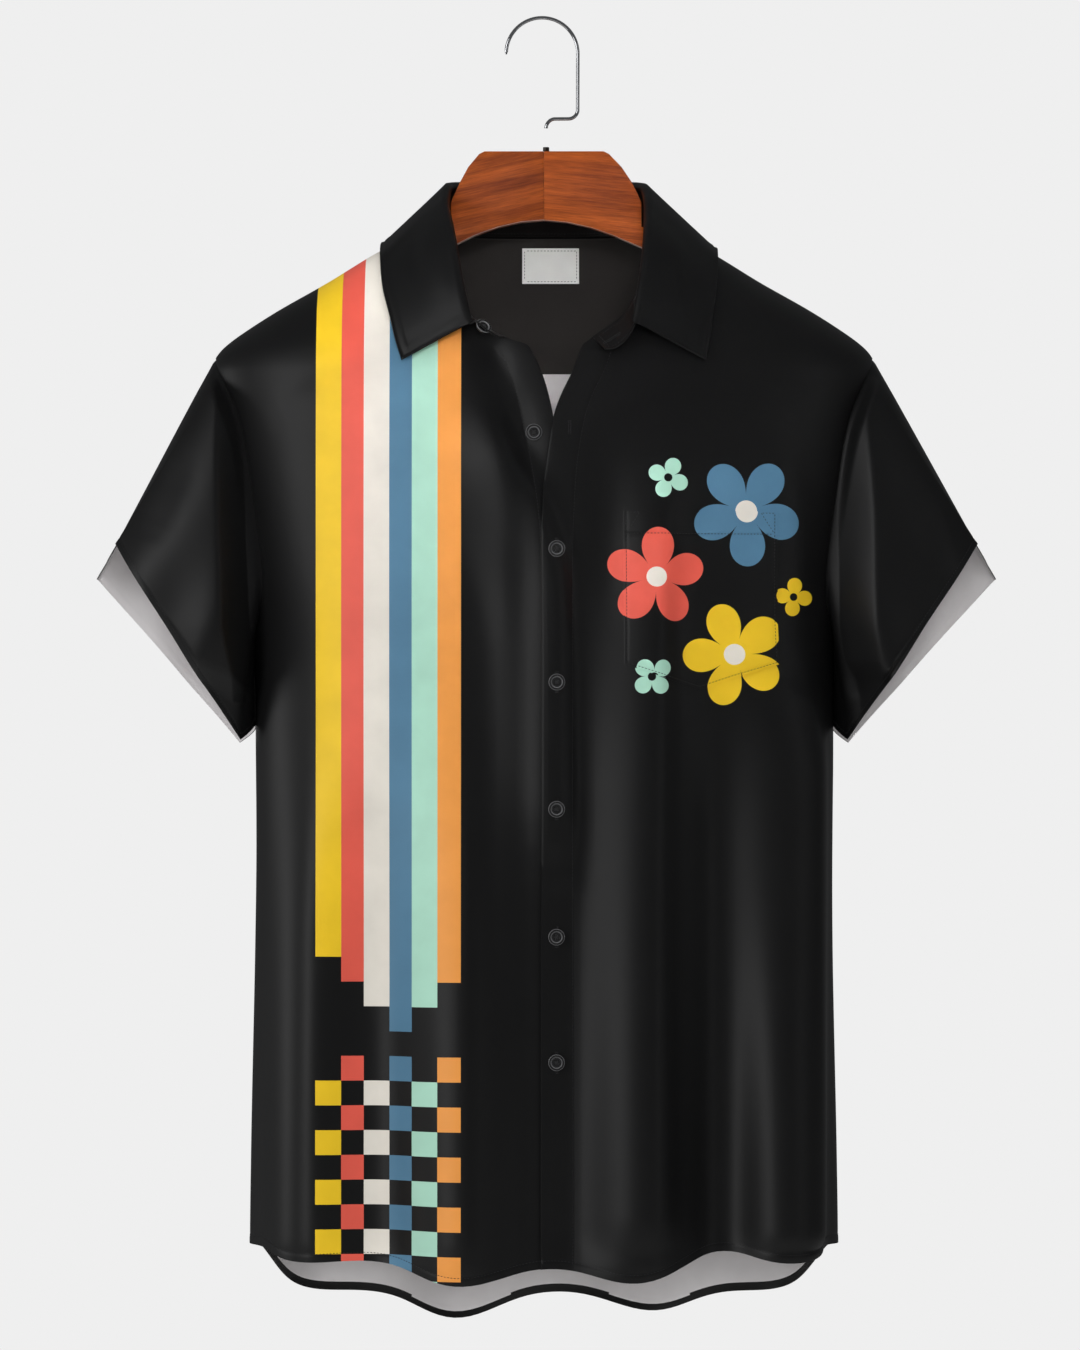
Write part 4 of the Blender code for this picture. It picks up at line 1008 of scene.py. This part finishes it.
def tubeNormals(rows):
    across = np.roll(rows, -1, 1) - np.roll(rows, 1, 1)
    down = np.empty_like(rows)
    down[1:-1] = rows[2:] - rows[:-2]
    down[0], down[-1] = rows[1] - rows[0], rows[-1] - rows[-2]
    return unit(np.cross(across, down))


def sleeveGrid(name):
    count = sleeve["round"]
    ring, normal, out = armholeRing(count)
    turn = math.tau * np.arange(count) / count
    cosine, sine = np.cos(turn), np.sin(turn)
    share = (0.5 + 0.5 * np.clip(cosine * sleeve["squared"], -1, 1))[:, None]
    moves = sleeve["outerMove"][name]
    hems = [
        np.array(sleeve[k][1]) + (np.array(sleeve[k][0]) + (move, 0) - np.array(sleeve[k][1])) * share
        for k, move in (("backHem", moves[1]), ("frontHem", moves[0]))
    ]
    toFront = ease(0.5 + 0.5 * sine / sleeve["turnOver"])[:, None]
    place = hems[0] + (hems[1] - hems[0]) * toFront
    upper = 1 + sleeve["upperBulge"] * cosine
    bulge = sleeve["halfDepth"] * np.sign(sine) * abs(sine) ** sleeve["fullness"] * upper
    cuff = np.stack([place[:, 0], -bulge, place[:, 1]], -1)
    reach = unit(cuff - ring)
    bend = np.arctan2(np.maximum((reach * normal).sum(-1), 0), (reach * out).sum(-1))[:, None]
    lead = out * np.cos(bend / 2) + normal * np.sin(bend / 2)
    start = ring + lead * body["seam"]
    along = gradedShares(sleeve["rows"], near["seam"], near["cuff"], sleeve["length"])
    along3 = along[:, None, None]
    rows = start[None] * (1 - along3) + cuff[None] * along3
    rows[..., 1] -= sleeve["belly"] * np.sin(math.pi * along)[:, None] * sine[None]
    # under the arm it lies against the body
    deep = readTable(bodyForm, "front", rows[..., 2]) * (1 + body["fullness"])
    half, limit = readTable(bodyForm, "half", rows[..., 2]), sleeve["sideLimit"]
    side = half * np.sqrt(1 - np.clip(rows[..., 1] / deep, -limit, limit) ** 2)
    inward = np.clip((-cosine - sleeve["cornerTurn"]) / (1 - sleeve["cornerTurn"]), 0, 1)[None]
    gap = side + sleeve["clear"] - rows[..., 0]
    rows[..., 0] += gap * inward * ease(along / sleeve["clearBy"])[:, None]
    lift = ease((along - sleeve["cornerFrom"]) / (1 - sleeve["cornerFrom"]))[:, None]
    rows[..., 2] += sleeve["cornerLift"] * inward * lift
    push = np.zeros(rows.shape[:2])
    degrees = np.degrees(turn)
    for angle, width, depth, first in zip(*(sleeveFolds[k] for k in ("angle", "width", "depth", "start"))):
        push += depth * ease((along - first) / (1 - first))[:, None] * turnBump(degrees, angle, width)[None]
    rows = rows + tubeNormals(rows) * push[..., None]
    places, sides = rows.reshape(-1, 3)[:, [0, 2]], sleeveCreases[name]
    front = creaseHeight(places, sides["front"]) + pressedHeight(places, pressed[name])
    back = creaseHeight(places, sides["back"])
    height = np.where(rows[..., 1] < 0, front.reshape(push.shape), back.reshape(push.shape))
    fromSeam, fromHem = bothWays(rows, 0)
    past, over = sleeve["edgeFade"]
    height *= ease((abs(rows[..., 1]) - past) / over) * ease(fromSeam / sleeve["seamFade"])
    flat = np.stack(np.broadcast_arrays(turn[None] * sleeve["flatRadius"], -fromSeam), -1)
    rows[..., 1] += np.sign(rows[..., 1]) * height
    rows = rows + tubeNormals(rows) * hemRelief(fromHem, sleeve["hem"])[..., None]
    # its seamed edge is tucked under the edge of the body
    tuck = bump(fromSeam, sleeve["tuckWidth"])[..., None]
    rows = rows - (normal * sleeve["tuckDown"] + lead * sleeve["tuckIn"])[None] * tuck
    return rows, tubeNormals(rows), flat, fromHem


def makeSleeves():
    for name, side in (("left", 1), ("right", -1)):
        points, normals, flat, fromHem = sleeveGrid(name)
        mirror = np.array([side, 1, 1])
        points, normals = points * mirror, normals * mirror
        makeSheet(name + "SleeveCloth", points, flat, "plain", "reverse", name + "_sleeve",
                  flip=side > 0, closed=True)
        hem = crossing(points, normals, fromHem, sleeve["hem"] - cloth["hemStitch"], across=True)
        sew(name + "SleeveStitches", [along(hem)])


makeSleeves()
print("sleeves made")


# ---- collar

collarRows = {
    "seam": [180, 163, 146, 125, 106, 90, -0.1515, -0.162, -0.176, -0.190, -0.202, -0.214],
    "topLeft": [0.000, 0.021, 0.042, 0.060, 0.070, 0.0740, 0.0755, 0.0760, 0.0750, 0.0730, 0.0700, 0.0660],
    "topRight": [0.000, 0.021, 0.042, 0.060, 0.069, 0.0712, 0.0720, 0.0720, 0.0680, 0.0640, 0.0600, 0.0545],
    "topY": [0.062, 0.060, 0.051, 0.034, 0.014, -0.004, -0.020, -0.037, -0.062, -0.077, -0.088, -0.095],
    "topZ": [-0.121, -0.121, -0.1215, -0.123, -0.125, -0.1275, -0.1345, -0.144, -0.164, -0.185, -0.206,
             -0.228],
    "edgeLeft": [0.000, 0.028, 0.058, 0.090, 0.112, 0.1240, 0.1256, 0.1255, 0.1245, 0.1220, 0.1200, 0.1170],
    "edgeRight": [0.000, 0.028, 0.058, 0.088, 0.107, 0.1170, 0.1185, 0.1183, 0.1165, 0.1120, 0.1080, 0.1030],
    "edgeSide": [1, 1, 1, 1, 1, 0, -1, -1, -1, -1, -1, -1],
    "edgeZ": [-0.171, -0.171, -0.172, -0.173, -0.173, -0.171, -0.179, -0.190, -0.206, -0.224, -0.241, -0.257],
}
standEnd = {
    "seam": [-0.225, -0.233, -0.239], "topLeft": [0.0600, 0.0520, 0.0440],
    "leftZ": [-0.2400, -0.2470, -0.2480],
    "topRight": [0.0495, 0.0420, 0.0330], "rightZ": [-0.2275, -0.2335, -0.2390],
    "topY": [-0.098, -0.099, -0.098],
}
collar = {"between": 8, "lift": 0.0008, "clear": 0.0030, "leafThick": 0.0013, "standThick": 0.0012,
          "roll": [(-0.0015, 0.0004), (-0.0013, 0.0022), (0.0004, 0.0036), (0.0026, 0.0032)], "steps": 30,
          "stitch": 0.0052, "stitchDepth": 0.00080, "standStitch": 0.0024, "standDepth": 0.0003,
          "fold": 0.0012,
          "fallFrom": 0.004, "fallOver": 0.012, "endStitch": 0.004, "topClear": 0.001, "leafClear": 0.006,
          "holeAt": (0.0500, -0.2400), "holeSize": 0.0145, "standRows": 17, "standEnds": 40, "leafEnds": 60}
collarCreases = [
    crease(-0.0014, (0.01, 0.012), [(-0.088, -0.15), (-0.08, -0.18), (-0.074, -0.215)]),
    crease(0.0008, (0.006, 0.007), [(-0.098, -0.166), (-0.09, -0.2)]),
    crease(-0.0012, (0.012, 0.012), [(0.086, -0.15), (0.094, -0.19), (0.092, -0.226)]),
    crease(0.0007, (0.006, 0.007), [(0.104, -0.176), (0.108, -0.22)]),
]


def shoulderHeight(x):
    low, high = body["shoulderTip"], bodyForm["z"][-1]
    for _ in range(30):
        middle = (low + high) / 2
        if readTable(bodyForm, "half", np.array(middle)) > x:
            low = middle
        else:
            high = middle
    return (low + high) / 2


def neckSeam(seam, side):
    if seam > 0:
        angle = seam if side > 0 else 360 - seam
        share = abs(2 * (angle - 90) / 180 - 1)
        z = body["backNeck"] + (body["neck"] - body["backNeck"]) * share**2.5
    else:
        z = seam
        angle = frontAngle(readTable(frontEdge, "left" if side > 0 else "right", np.array(z)), z)
    return onBody(angle, z)


def leafEdge(row, side):
    x = collarRows["edgeLeft"][row] if side > 0 else -collarRows["edgeRight"][row]
    z, where = collarRows["edgeZ"][row], collarRows["edgeSide"][row]
    if where == 0:
        angle, z = 90.0 * side, shoulderHeight(abs(x))
    else:
        angle = backAngle(x, z) if where > 0 else frontAngle(x, z)
    return onBody(angle, z) + bodyNormal(angle, z) * collar["clear"]


def collarLines():
    # the stand's lower and upper edge and the leaf's outer edge, from the wearer's right to their left
    last = len(collarRows["seam"]) - 1
    order = [(row, -1) for row in range(last, 0, -1)] + [(row, 1) for row in range(last + 1)]
    seams, tops, edges = [], [], []
    for row, side in order:
        seams.append(neckSeam(collarRows["seam"][row], side))
        x = collarRows["topLeft"][row] if side > 0 else -collarRows["topRight"][row]
        tops.append(np.array([x, collarRows["topY"][row], collarRows["topZ"][row]]))
        edges.append(leafEdge(row, side))

    def endRow(row, side):
        x = standEnd["topLeft"][row] if side > 0 else -standEnd["topRight"][row]
        z = standEnd["leftZ"][row] if side > 0 else standEnd["rightZ"][row]
        return neckSeam(standEnd["seam"][row], side), np.array([x, standEnd["topY"][row], z])

    ends = range(len(standEnd["seam"]))
    before, after = [endRow(row, -1) for row in reversed(ends)], [endRow(row, 1) for row in ends]
    seams = np.array([s for s, _ in before] + seams + [s for s, _ in after])
    tops = np.array([t for _, t in before] + tops + [t for _, t in after])
    seams = seams + unit(tops - seams) * collar["lift"]
    between = collar["between"]
    return smoothLine(seams, between), smoothLine(tops, between), smoothLine(edges, between)


def makeStand(seams, tops):
    share = np.linspace(0, 1, collar["standRows"])[:, None, None]
    stand = tops[None] * (1 - share) + seams[None] * share
    fromStart, fromEnd = bothWays(stand, 1)
    fromTop, fromSeam = bothWays(stand, 0)
    fromEnds = np.minimum(fromStart, fromEnd)
    normals = gridNormals(stand)
    groove = np.minimum(np.minimum(fromEnds, fromTop), fromSeam) - collar["standStitch"]
    stand = stand + normals * (-collar["standDepth"] * bump(groove, cloth["grooveWidth"]))[..., None]
    flat = np.stack([fromStart, -fromTop], -1)
    makeSheet("collarStandCloth", stand, flat, "plain", "plain", "collar_stand",
              thick=collar["standThick"])
    inside = stand - normals * collar["standThick"]
    runs, ends, fromEnd = [], collar["standEnds"], collar["endStitch"]
    for face, out in ((stand, normals), (inside, -normals)):
        for distance in (fromSeam, fromTop):
            line = crossing(face, out, distance, collar["standStitch"], across=True, keep=fromEnds > fromEnd)
            runs.append(along(line))
        for half in (slice(0, ends), slice(-ends, None)):
            keep = fromTop[:, half] > collar["topClear"]
            runs.append(along(crossing(face[:, half], out[:, half], fromEnds[:, half], fromEnd, keep=keep)))
        x, z = collar["holeAt"]
        row, column = np.unravel_index(np.hypot(face[..., 0] - x, face[..., 2] - z).argmin(), face.shape[:2])
        way = face[row, column + 1] - face[row, column - 1]
        runs += buttonhole(face[row, column], way, out[row, column], collar["holeSize"])
    sew("collarStandStitches", runs)


def makeLeaf(tops, edges, up, out):
    roll = smoothLine(collar["roll"], 4)
    face = [tops + out * o + up * u for o, u in roll]
    for step in range(1, collar["steps"] + 1):
        t = step / collar["steps"]
        face.append(face[len(roll) - 1] * (1 - t) + edges * t)
    face = np.array(face)
    fromStart, fromEnd = bothWays(face, 1)
    fromTop, fromEdge = bothWays(face, 0)
    fromEnds = np.minimum(fromStart, fromEnd)
    fromRim = np.minimum(fromEnds, fromEdge)
    normals = gridNormals(face)
    places = face.reshape(-1, 3)[:, [0, 2]]
    fallen = ease((fromTop - collar["fallFrom"]) / collar["fallOver"])
    front = np.where(face[..., 1] < 0, creaseHeight(places, collarCreases).reshape(fromRim.shape),
                     0.0) * fallen
    groove = bump(fromRim - collar["stitch"], cloth["grooveWidth"])
    relief = front + foldedEdge(fromRim, collar["fold"]) * fallen - collar["stitchDepth"] * groove * fallen
    face = face + normals * relief[..., None]
    flat = np.stack([fromStart, -fromTop], -1)
    makeSheet("collarLeafCloth", face, flat, "plain", "plain", "collar_leaf",
              thick=collar["leafThick"])
    normals = gridNormals(face)
    edge = crossing(face, normals, fromEdge, collar["stitch"], across=True, keep=fromEnds > collar["stitch"])
    runs, ends = [along(edge)], collar["leafEnds"]
    for half in (slice(0, ends), slice(-ends, None)):
        keep = (fromEdge[:, half] > collar["stitch"]) & (fromTop[:, half] > collar["leafClear"])
        runs.append(along(crossing(face[:, half], normals[:, half], fromEnds[:, half], collar["stitch"],
                                   keep=keep)))
    sew("collarLeafStitches", runs)


def makeCollar():
    seams, tops, edges = collarLines()
    makeStand(seams, tops)
    course = np.empty_like(tops)
    course[1:-1], course[0], course[-1] = tops[2:] - tops[:-2], tops[1] - tops[0], tops[-1] - tops[-2]
    up = unit(tops - seams)
    out = unit(np.cross(up, unit(course)))
    skip = len(standEnd["seam"]) * collar["between"]
    makeLeaf(tops[skip:-skip], edges, up[skip:-skip], out[skip:-skip])


makeCollar()
print("collar made")


# ---- pocket and label

pocket = {"left": 0.057, "right": 0.169, "top": -0.366, "side": -0.477, "point": -0.496, "hem": 0.0165,
          "thick": 0.0008,
          "stitch": 0.0021, "tack": 0.0095, "edgeDrop": 0.0003, "edgeWidth": 0.0009, "stitchDepth": 0.8,
          "stitchWidth": 0.0008,
          "hemWidth": 0.0009, "inset": 0.0012, "pointInset": 0.0026, "seamPoints": 60, "threadDepth": 0.4}


def makePocket():
    width = pocket["right"] - pocket["left"]
    across = gradedShares(50, near["pocket"], near["pocket"], width)
    down = gradedShares(56, near["pocketTop"], near["pocket"], 0.12)
    x = pocket["left"] + width * across[None]
    low = pocket["side"] + (pocket["point"] - pocket["side"]) * (1 - abs(2 * across[None] - 1))
    z = pocket["top"] + (low - pocket["top"]) * down[:, None]
    x = np.broadcast_to(x, z.shape)
    fromSide = np.minimum(x - pocket["left"], pocket["right"] - x)
    fromEdge = np.minimum(fromSide, z - low)
    lift = body["lie"] + pocket["thick"] - pocket["edgeDrop"] * bump(fromEdge, pocket["edgeWidth"])
    groove = bump(fromEdge - pocket["stitch"], pocket["stitchWidth"])
    lift = lift - cloth["groove"] * pocket["stitchDepth"] * groove
    lift = lift - cloth["groove"] * bump(pocket["top"] - z - pocket["hem"], pocket["hemWidth"])
    angle = frontAngle(x, z)
    flat = np.stack([x, z], -1)
    makeSheet("pocketCloth", onCloth(angle, z, lift), flat, "flowers", "reverse", "chest_pocket",
              thick=pocket["thick"])
    left, right = pocket["left"] + pocket["stitch"], pocket["right"] - pocket["stitch"]
    top, hem, middle = pocket["top"] - pocket["inset"], pocket["top"] - pocket["hem"], (left + right) / 2
    low, point = pocket["side"] + pocket["inset"], pocket["point"] + pocket["pointInset"]
    seams = [
        [(left, top), (left, low), (middle, point), (right, low), (right, top)], [(left, hem), (right, hem)],
        [(left, top), (left + pocket["tack"], top), (left, hem)],
        [(right, top), (right - pocket["tack"], top), (right, hem)],
    ]
    runs, rise = [], body["lie"] + pocket["thick"] - cloth["groove"] * pocket["threadDepth"]
    for seam in seams:
        pairs = [np.linspace(a, b, pocket["seamPoints"]) for a, b in zip(seam[:-1], seam[1:])]
        x, z = np.array(pairs).reshape(-1, 2).T
        angle = frontAngle(x, z)
        runs.append(along(np.stack([onCloth(angle, z, rise), bodyNormal(angle, z)], 1)))
    sew("pocketStitches", runs)


label = {"x": 0.005, "width": 0.043, "top": -0.164, "bottom": -0.190, "thick": 0.0006, "columns": 25,
         "rows": 17}


def makeLabel():
    x = label["x"] + label["width"] * (0.5 - np.linspace(0, 1, label["columns"]))[None]
    z = np.linspace(label["top"], label["bottom"], label["rows"])[:, None]
    x, z = np.broadcast_arrays(x, z)
    angle = backAngle(x, z)
    inward = -(2 * body["clothSolid"] + 2 * body["lie"])
    flat = np.stack([x, z], -1)
    face = onCloth(angle, z, inward - label["thick"])
    makeSheet("labelTape", onCloth(angle, z, inward), flat, "label", "label", "neck_label",
              thick=label["thick"])
    normals = -bodyNormal(angle, z)
    inner = slice(1, -1)
    ring = [(1, inner), (-2, inner), (inner, 1), (inner, -2)]
    sew("labelStitches", [along(np.stack([face[line], normals[line]], 1)) for line in ring])


makePocket()
makeLabel()
print("pocket and label made")


# ---- buttons

button = {"radius": 0.0060, "thick": 0.0024, "rim": 0.0011, "slope": 0.0007, "dish": 0.0008, "round": 0.0006,
          "hole": 0.00075, "holeAt": 0.0014, "thread": 0.00036, "lift": 0.0003, "collarTip": (0.0, -1.0, 0.0),
          "collarMove": (0.0030, -0.0020, -0.0008), "sides": 56, "roundSteps": 4, "holeSides": 14,
          "holeDepth": 0.01,
          "edgeSlope": (0.15, 0.97), "edgeFrom": 0.003, "threadSides": 10, "slip": 0.9, "threadRise": 0.00018,
          "threadStep": 0.00028, "threadOver": 0.0006}


def pickFaces(obj, test):
    # leaves in edit mode the faces whose middle and normal pass the test
    bpy.ops.object.mode_set(mode="EDIT")
    bpy.ops.mesh.select_mode(type="FACE")
    bpy.ops.mesh.select_all(action="DESELECT")
    bpy.ops.object.mode_set(mode="OBJECT")
    for face in obj.data.polygons:
        face.select = bool(test(face.center, face.normal))
    bpy.ops.object.mode_set(mode="EDIT")


def settle(obj, angle=40):
    # puts the object's place in its mesh and shades it smooth
    select(obj)
    bpy.ops.object.transform_apply(location=True, rotation=True, scale=True)
    bpy.ops.object.shade_smooth_by_angle(angle=math.radians(angle))


def modelButton():
    disc = newCylinder(button["sides"], button["radius"], button["thick"])
    disc.data.materials.append(finishes["button"])
    pickFaces(disc, lambda middle, normal: abs(normal.z) > 0.9)
    bpy.ops.mesh.region_to_loop()  # the two rims
    bpy.ops.mesh.bevel(offset=button["round"], segments=button["roundSteps"])
    bpy.ops.object.mode_set(mode="OBJECT")
    pickFaces(disc, lambda middle, normal: normal.z > 0.999 and abs(middle.x) < 0.001)
    bpy.ops.mesh.inset(thickness=button["rim"])
    bpy.ops.mesh.inset(thickness=button["slope"], depth=-button["dish"])
    bpy.ops.object.mode_set(mode="OBJECT")
    for k in range(4):
        turn = math.radians(45 + 90 * k)
        place = (button["holeAt"] * math.cos(turn), button["holeAt"] * math.sin(turn), 0)
        drill = newCylinder(button["holeSides"], button["hole"], button["holeDepth"], location=place)
        select(disc)
        modify(disc, "BOOLEAN", operation="DIFFERENCE", solver="EXACT", object=drill)
        bpy.data.objects.remove(drill)
    # the round rim and dish slope get a paler resin as a painted highlight
    disc.data.materials.append(finishes["buttonEdge"])
    flattest, steepest = button["edgeSlope"]
    for face in disc.data.polygons:  # its round edge and the slope of its dish, in a paler resin: a painted highlight
        far = math.hypot(face.center.x, face.center.y) > button["edgeFrom"]
        if flattest < face.normal.z < steepest and far:
            face.material_index = 1
    settle(disc, 35)
    floor = button["thick"] / 2 - button["dish"]
    threads = []
    for k in range(4):
        turn = math.radians(45 + 90 * (k // 2))
        slip = button["thread"] * button["slip"] * (1 if k % 2 else -1)
        height = floor + button["threadRise"] + button["threadStep"] * (k // 2)
        place = (-slip * math.sin(turn), slip * math.cos(turn), height)
        threads.append(newCylinder(
            button["threadSides"], button["thread"], 2 * button["holeAt"] + button["threadOver"],
            location=place, rotation=(math.pi / 2, 0, turn + math.pi / 2),
        ))
        threads[-1].data.materials.append(finishes["thread"])
        settle(threads[-1])
    for strand in threads:
        strand.select_set(True)
    disc.select_set(True)
    bpy.context.view_layer.objects.active = disc
    bpy.ops.object.join()
    return disc


def placeButton(model, node):
    # a copy of the button on its node, moved out or in to lie on the creased cloth
    points = np.array([v.co for v in frame["nodes"][node].data.vertices])
    middle = (points.min(0) + points.max(0)) / 2
    axis = np.linalg.svd(points - points.mean(0), full_matrices=False)[2][2]
    axis = axis if axis[1] < 0 else -axis
    if node == "button_collar":  # it tips towards the front with the end of the stand
        axis = unit(axis + np.array(button["collarTip"]))
        middle = middle + np.array(button["collarMove"])
    else:
        x, z = middle[0], middle[2]
        angle = frontAngle(x, z)
        push = lapPush(x, z) if node == "button_neck" else placket["rise"]
        middle = onCloth(angle, z, push) + axis * (button["thick"] / 2 + button["lift"])
    piece = model.copy()
    piece.data = model.data.copy()
    piece.name = node.replace("_", "") + "Disc"
    bpy.context.scene.collection.objects.link(piece)
    piece.rotation_euler = Vector(axis).to_track_quat("Z", "Y").to_euler()
    piece.location = middle
    select(piece)
    bpy.ops.object.transform_apply(location=True, rotation=True, scale=True)
    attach(piece, "root")
    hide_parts(node)


def makeButtons():
    model = modelButton()
    for node in sorted(frame["nodes"]):
        if node.startswith("button_"):
            placeButton(model, node)
    bpy.data.objects.remove(model)


makeButtons()
print("buttons made")


# ---- hanger and hook

hook = {"wire": 0.0013, "radius": 0.0265, "middleX": -0.0015, "foot": -0.0735, "stemX": 0.0015,
        "bend": 0.0070,
        "stemEnd": -0.0977, "sides": 20, "tip": 0.0008, "tipShare": 0.4, "tipSizes": (0.8, 0.5),
        "bendSteps": 10, "arcSteps": 48, "merge": 0.00001, "smooth": 50}
ferrule = {"radius": 0.0023, "height": 0.0032, "round": 0.0004, "sides": 32, "gap": 0.0002, "well": 0.0008}
hanger = {"merge": 0.00002, "joint": 0.0003, "reach": 0.0705, "above": -0.175, "move": 0.0030, "start": 0.048,
          "over": 0.018, "smooth": 25}


def makeHook():
    # a round wire, drawn up from its foot through two bends and over the hook
    bpy.ops.object.select_all(action="DESELECT")
    foot = (hook["stemX"], 0, hook["stemEnd"])
    bpy.ops.mesh.primitive_circle_add(vertices=hook["sides"], radius=hook["wire"], location=foot)
    wire = bpy.context.active_object
    bpy.ops.object.transform_apply(location=True)
    bpy.ops.object.mode_set(mode="EDIT")
    bpy.ops.mesh.select_all(action="SELECT")

    def draw(dx, dz):
        bpy.ops.mesh.extrude_region_move(TRANSFORM_OT_translate={"value": (dx, 0, dz)})

    def bend(x, z, angle, steps):
        bpy.ops.mesh.spin(steps=steps, angle=math.radians(-angle), center=(x, 0, z), axis=(0, 1, 0))

    bendR, right = hook["bend"], hook["middleX"] + hook["radius"]
    arcZ = hook["wire"] - hook["radius"]
    draw(0, hook["foot"] - bendR - hook["stemEnd"])
    bend(hook["stemX"] + bendR, hook["foot"] - bendR, 90, hook["bendSteps"])
    draw(right - bendR - hook["stemX"] - bendR, 0)
    bend(right - bendR, hook["foot"] + bendR, -90, hook["bendSteps"])
    draw(0, arcZ - hook["foot"] - bendR)
    bend(hook["middleX"], arcZ, -180, hook["arcSteps"])
    for size in hook["tipSizes"]:
        draw(0, -hook["tip"] * hook["tipShare"])
        bpy.ops.transform.resize(value=(size, size, size))
    bpy.ops.mesh.select_all(action="SELECT")
    bpy.ops.mesh.remove_doubles(threshold=hook["merge"])
    bpy.ops.mesh.select_all(action="DESELECT")
    bpy.ops.mesh.select_mode(type="EDGE")
    bpy.ops.mesh.select_non_manifold()
    bpy.ops.mesh.edge_face_add()
    bpy.ops.mesh.select_all(action="SELECT")
    bpy.ops.mesh.normals_make_consistent(inside=False)
    bpy.ops.object.mode_set(mode="OBJECT")
    wire.name = "hookWire"
    wire.data.materials.append(finishes["chrome"])
    bpy.ops.object.shade_smooth_by_angle(angle=math.radians(hook["smooth"]))
    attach(wire, "root")
    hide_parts("hook")


def makeFerrule():
    place = (hook["stemX"], 0, hook["stemEnd"] + ferrule["height"] / 2)
    ring = newCylinder(ferrule["sides"], ferrule["radius"], ferrule["height"], location=place)
    pickFaces(ring, lambda middle, normal: normal.z > 0.9)
    bpy.ops.mesh.inset(thickness=ferrule["radius"] - hook["wire"] - ferrule["gap"])
    bpy.ops.mesh.extrude_region_move(TRANSFORM_OT_translate={"value": (0, 0, -ferrule["well"])})
    bpy.ops.object.mode_set(mode="OBJECT")
    modify(ring, "BEVEL", width=ferrule["round"], segments=3, limit_method="ANGLE")
    settle(ring, 30)
    ring.name = "hookFerrule"
    ring.data.materials.append(finishes["steel"])
    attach(ring, "root")
    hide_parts("ferrule")


def dressHanger():
    # the two wood halves keep their form, as merged copies that shade smoothly
    for node, finish in (("hanger_left", "woodLeft"), ("hanger_right", "woodRight")):
        half = frame["nodes"][node].copy()
        half.data = half.data.copy()
        half.name = node.replace("_", "") + "Wood"
        for key in list(half.keys()):
            del half[key]
        half.parent = None
        bpy.context.scene.collection.objects.link(half)
        select(half)
        bpy.ops.object.mode_set(mode="EDIT")
        bpy.ops.mesh.select_all(action="SELECT")
        bpy.ops.mesh.remove_doubles(threshold=hanger["merge"])
        bpy.ops.object.mode_set(mode="OBJECT")
        for corner in half.data.vertices:
            x, z = corner.co.x, corner.co.z
            if abs(x) < hanger["joint"]:
                corner.co.x = 0.0
            elif node == "hanger_left" and x < hanger["reach"] and z > hanger["above"]:  # out to the stand
                corner.co.x += hanger["move"] * float(ease((x - hanger["start"]) / hanger["over"]))
        bpy.ops.object.shade_smooth_by_angle(angle=math.radians(hanger["smooth"]))
        half.data.materials.clear()
        half.data.materials.append(finishes[finish])
        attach(half, "root")
        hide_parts(node)


makeHook()
makeFerrule()
dressHanger()
print("hanger and hook made")


# ---- camera, light and floor

view = {"place": (-0.003, -5.0, -0.485), "lens": 180.2}
lights = [  # name, place, aim, size, power, whether glossy faces mirror it, spread
    ("keyLeft", (-3.1, -3.2, 0.2), (0, 0, -0.5), (1.3, 2.8), 58, True, 180),
    ("sideLeft", (-4.2, 0.6, -0.5), (0, 0, -0.7), (1.2, 1.6), 20, True, 180),
    ("frontSoft", (0.2, -5.2, 0.1), (0, 0, -0.5), (1.6, 1.6), 86, False, 180),
    ("neckSoft", (0.3, -3.4, 0.35), (0.01, 0.03, -0.25), (0.4, 0.4), 0.21, False, 12),
    ("fillRight", (3.6, -2.6, 0.1), (0, 0, -0.5), (0.7, 2.6), 6, True, 180),
    ("topSoft", (0, -0.8, 2.4), (0, 0, -0.4), (2.4, 1.6), 40, False, 180),
    ("backSoft", (0.6, 4.2, 0.6), (0, 0, -0.5), (2.4, 2.4), 50, False, 180),
]


def addCamera():
    data = bpy.data.cameras.new("camera")
    data.lens = view["lens"]
    data.sensor_width = 36.0
    camera = addObject("camera", data)
    camera.location = view["place"]
    camera.rotation_euler = (math.radians(90), 0, 0)
    bpy.context.scene.camera = camera


def addLight(name, place, aim, size, power, glossy, spread):
    data = bpy.data.lights.new(name, "AREA")
    data.shape = "RECTANGLE"
    data.size, data.size_y = size
    data.energy = power
    data.spread = math.radians(spread)
    lamp = addObject(name, data)
    lamp.location = place
    lamp.rotation_euler = (Vector(aim) - Vector(place)).to_track_quat("-Z", "Y").to_euler()
    lamp.visible_glossy = glossy


def addStage():
    bpy.ops.mesh.primitive_plane_add(size=4.0, location=(0, 0, -1.6))
    floor = bpy.context.active_object
    floor.name = "floor"
    paint, _, shader = newMaterial("paleFloor")
    shader.inputs["Base Color"].default_value = (0.78, 0.78, 0.77, 1)
    shader.inputs["Roughness"].default_value = 0.9
    floor.data.materials.append(paint)
    world = bpy.data.worlds.new("paleRoom")
    world.use_nodes = True
    bpy.context.scene.world = world
    nodes = Nodes(world.node_tree)
    world.node_tree.nodes.clear()
    seen = nodes.add("ShaderNodeBackground", {"Color": (0.863, 0.863, 0.863, 1), "Strength": 1.0})
    glow = nodes.add("ShaderNodeBackground", {"Color": (0.86, 0.87, 0.88, 1), "Strength": 0.12})
    path = nodes.add("ShaderNodeLightPath")
    both = nodes.add("ShaderNodeMixShader",
                     {0: path.outputs["Is Camera Ray"], 1: glow.outputs[0], 2: seen.outputs[0]})
    nodes.add("ShaderNodeOutputWorld", {0: both.outputs[0]})


addCamera()
addStage()
for light in lights:
    addLight(*light)
bpy.context.scene.view_settings.view_transform = "Standard"
print("stage made")
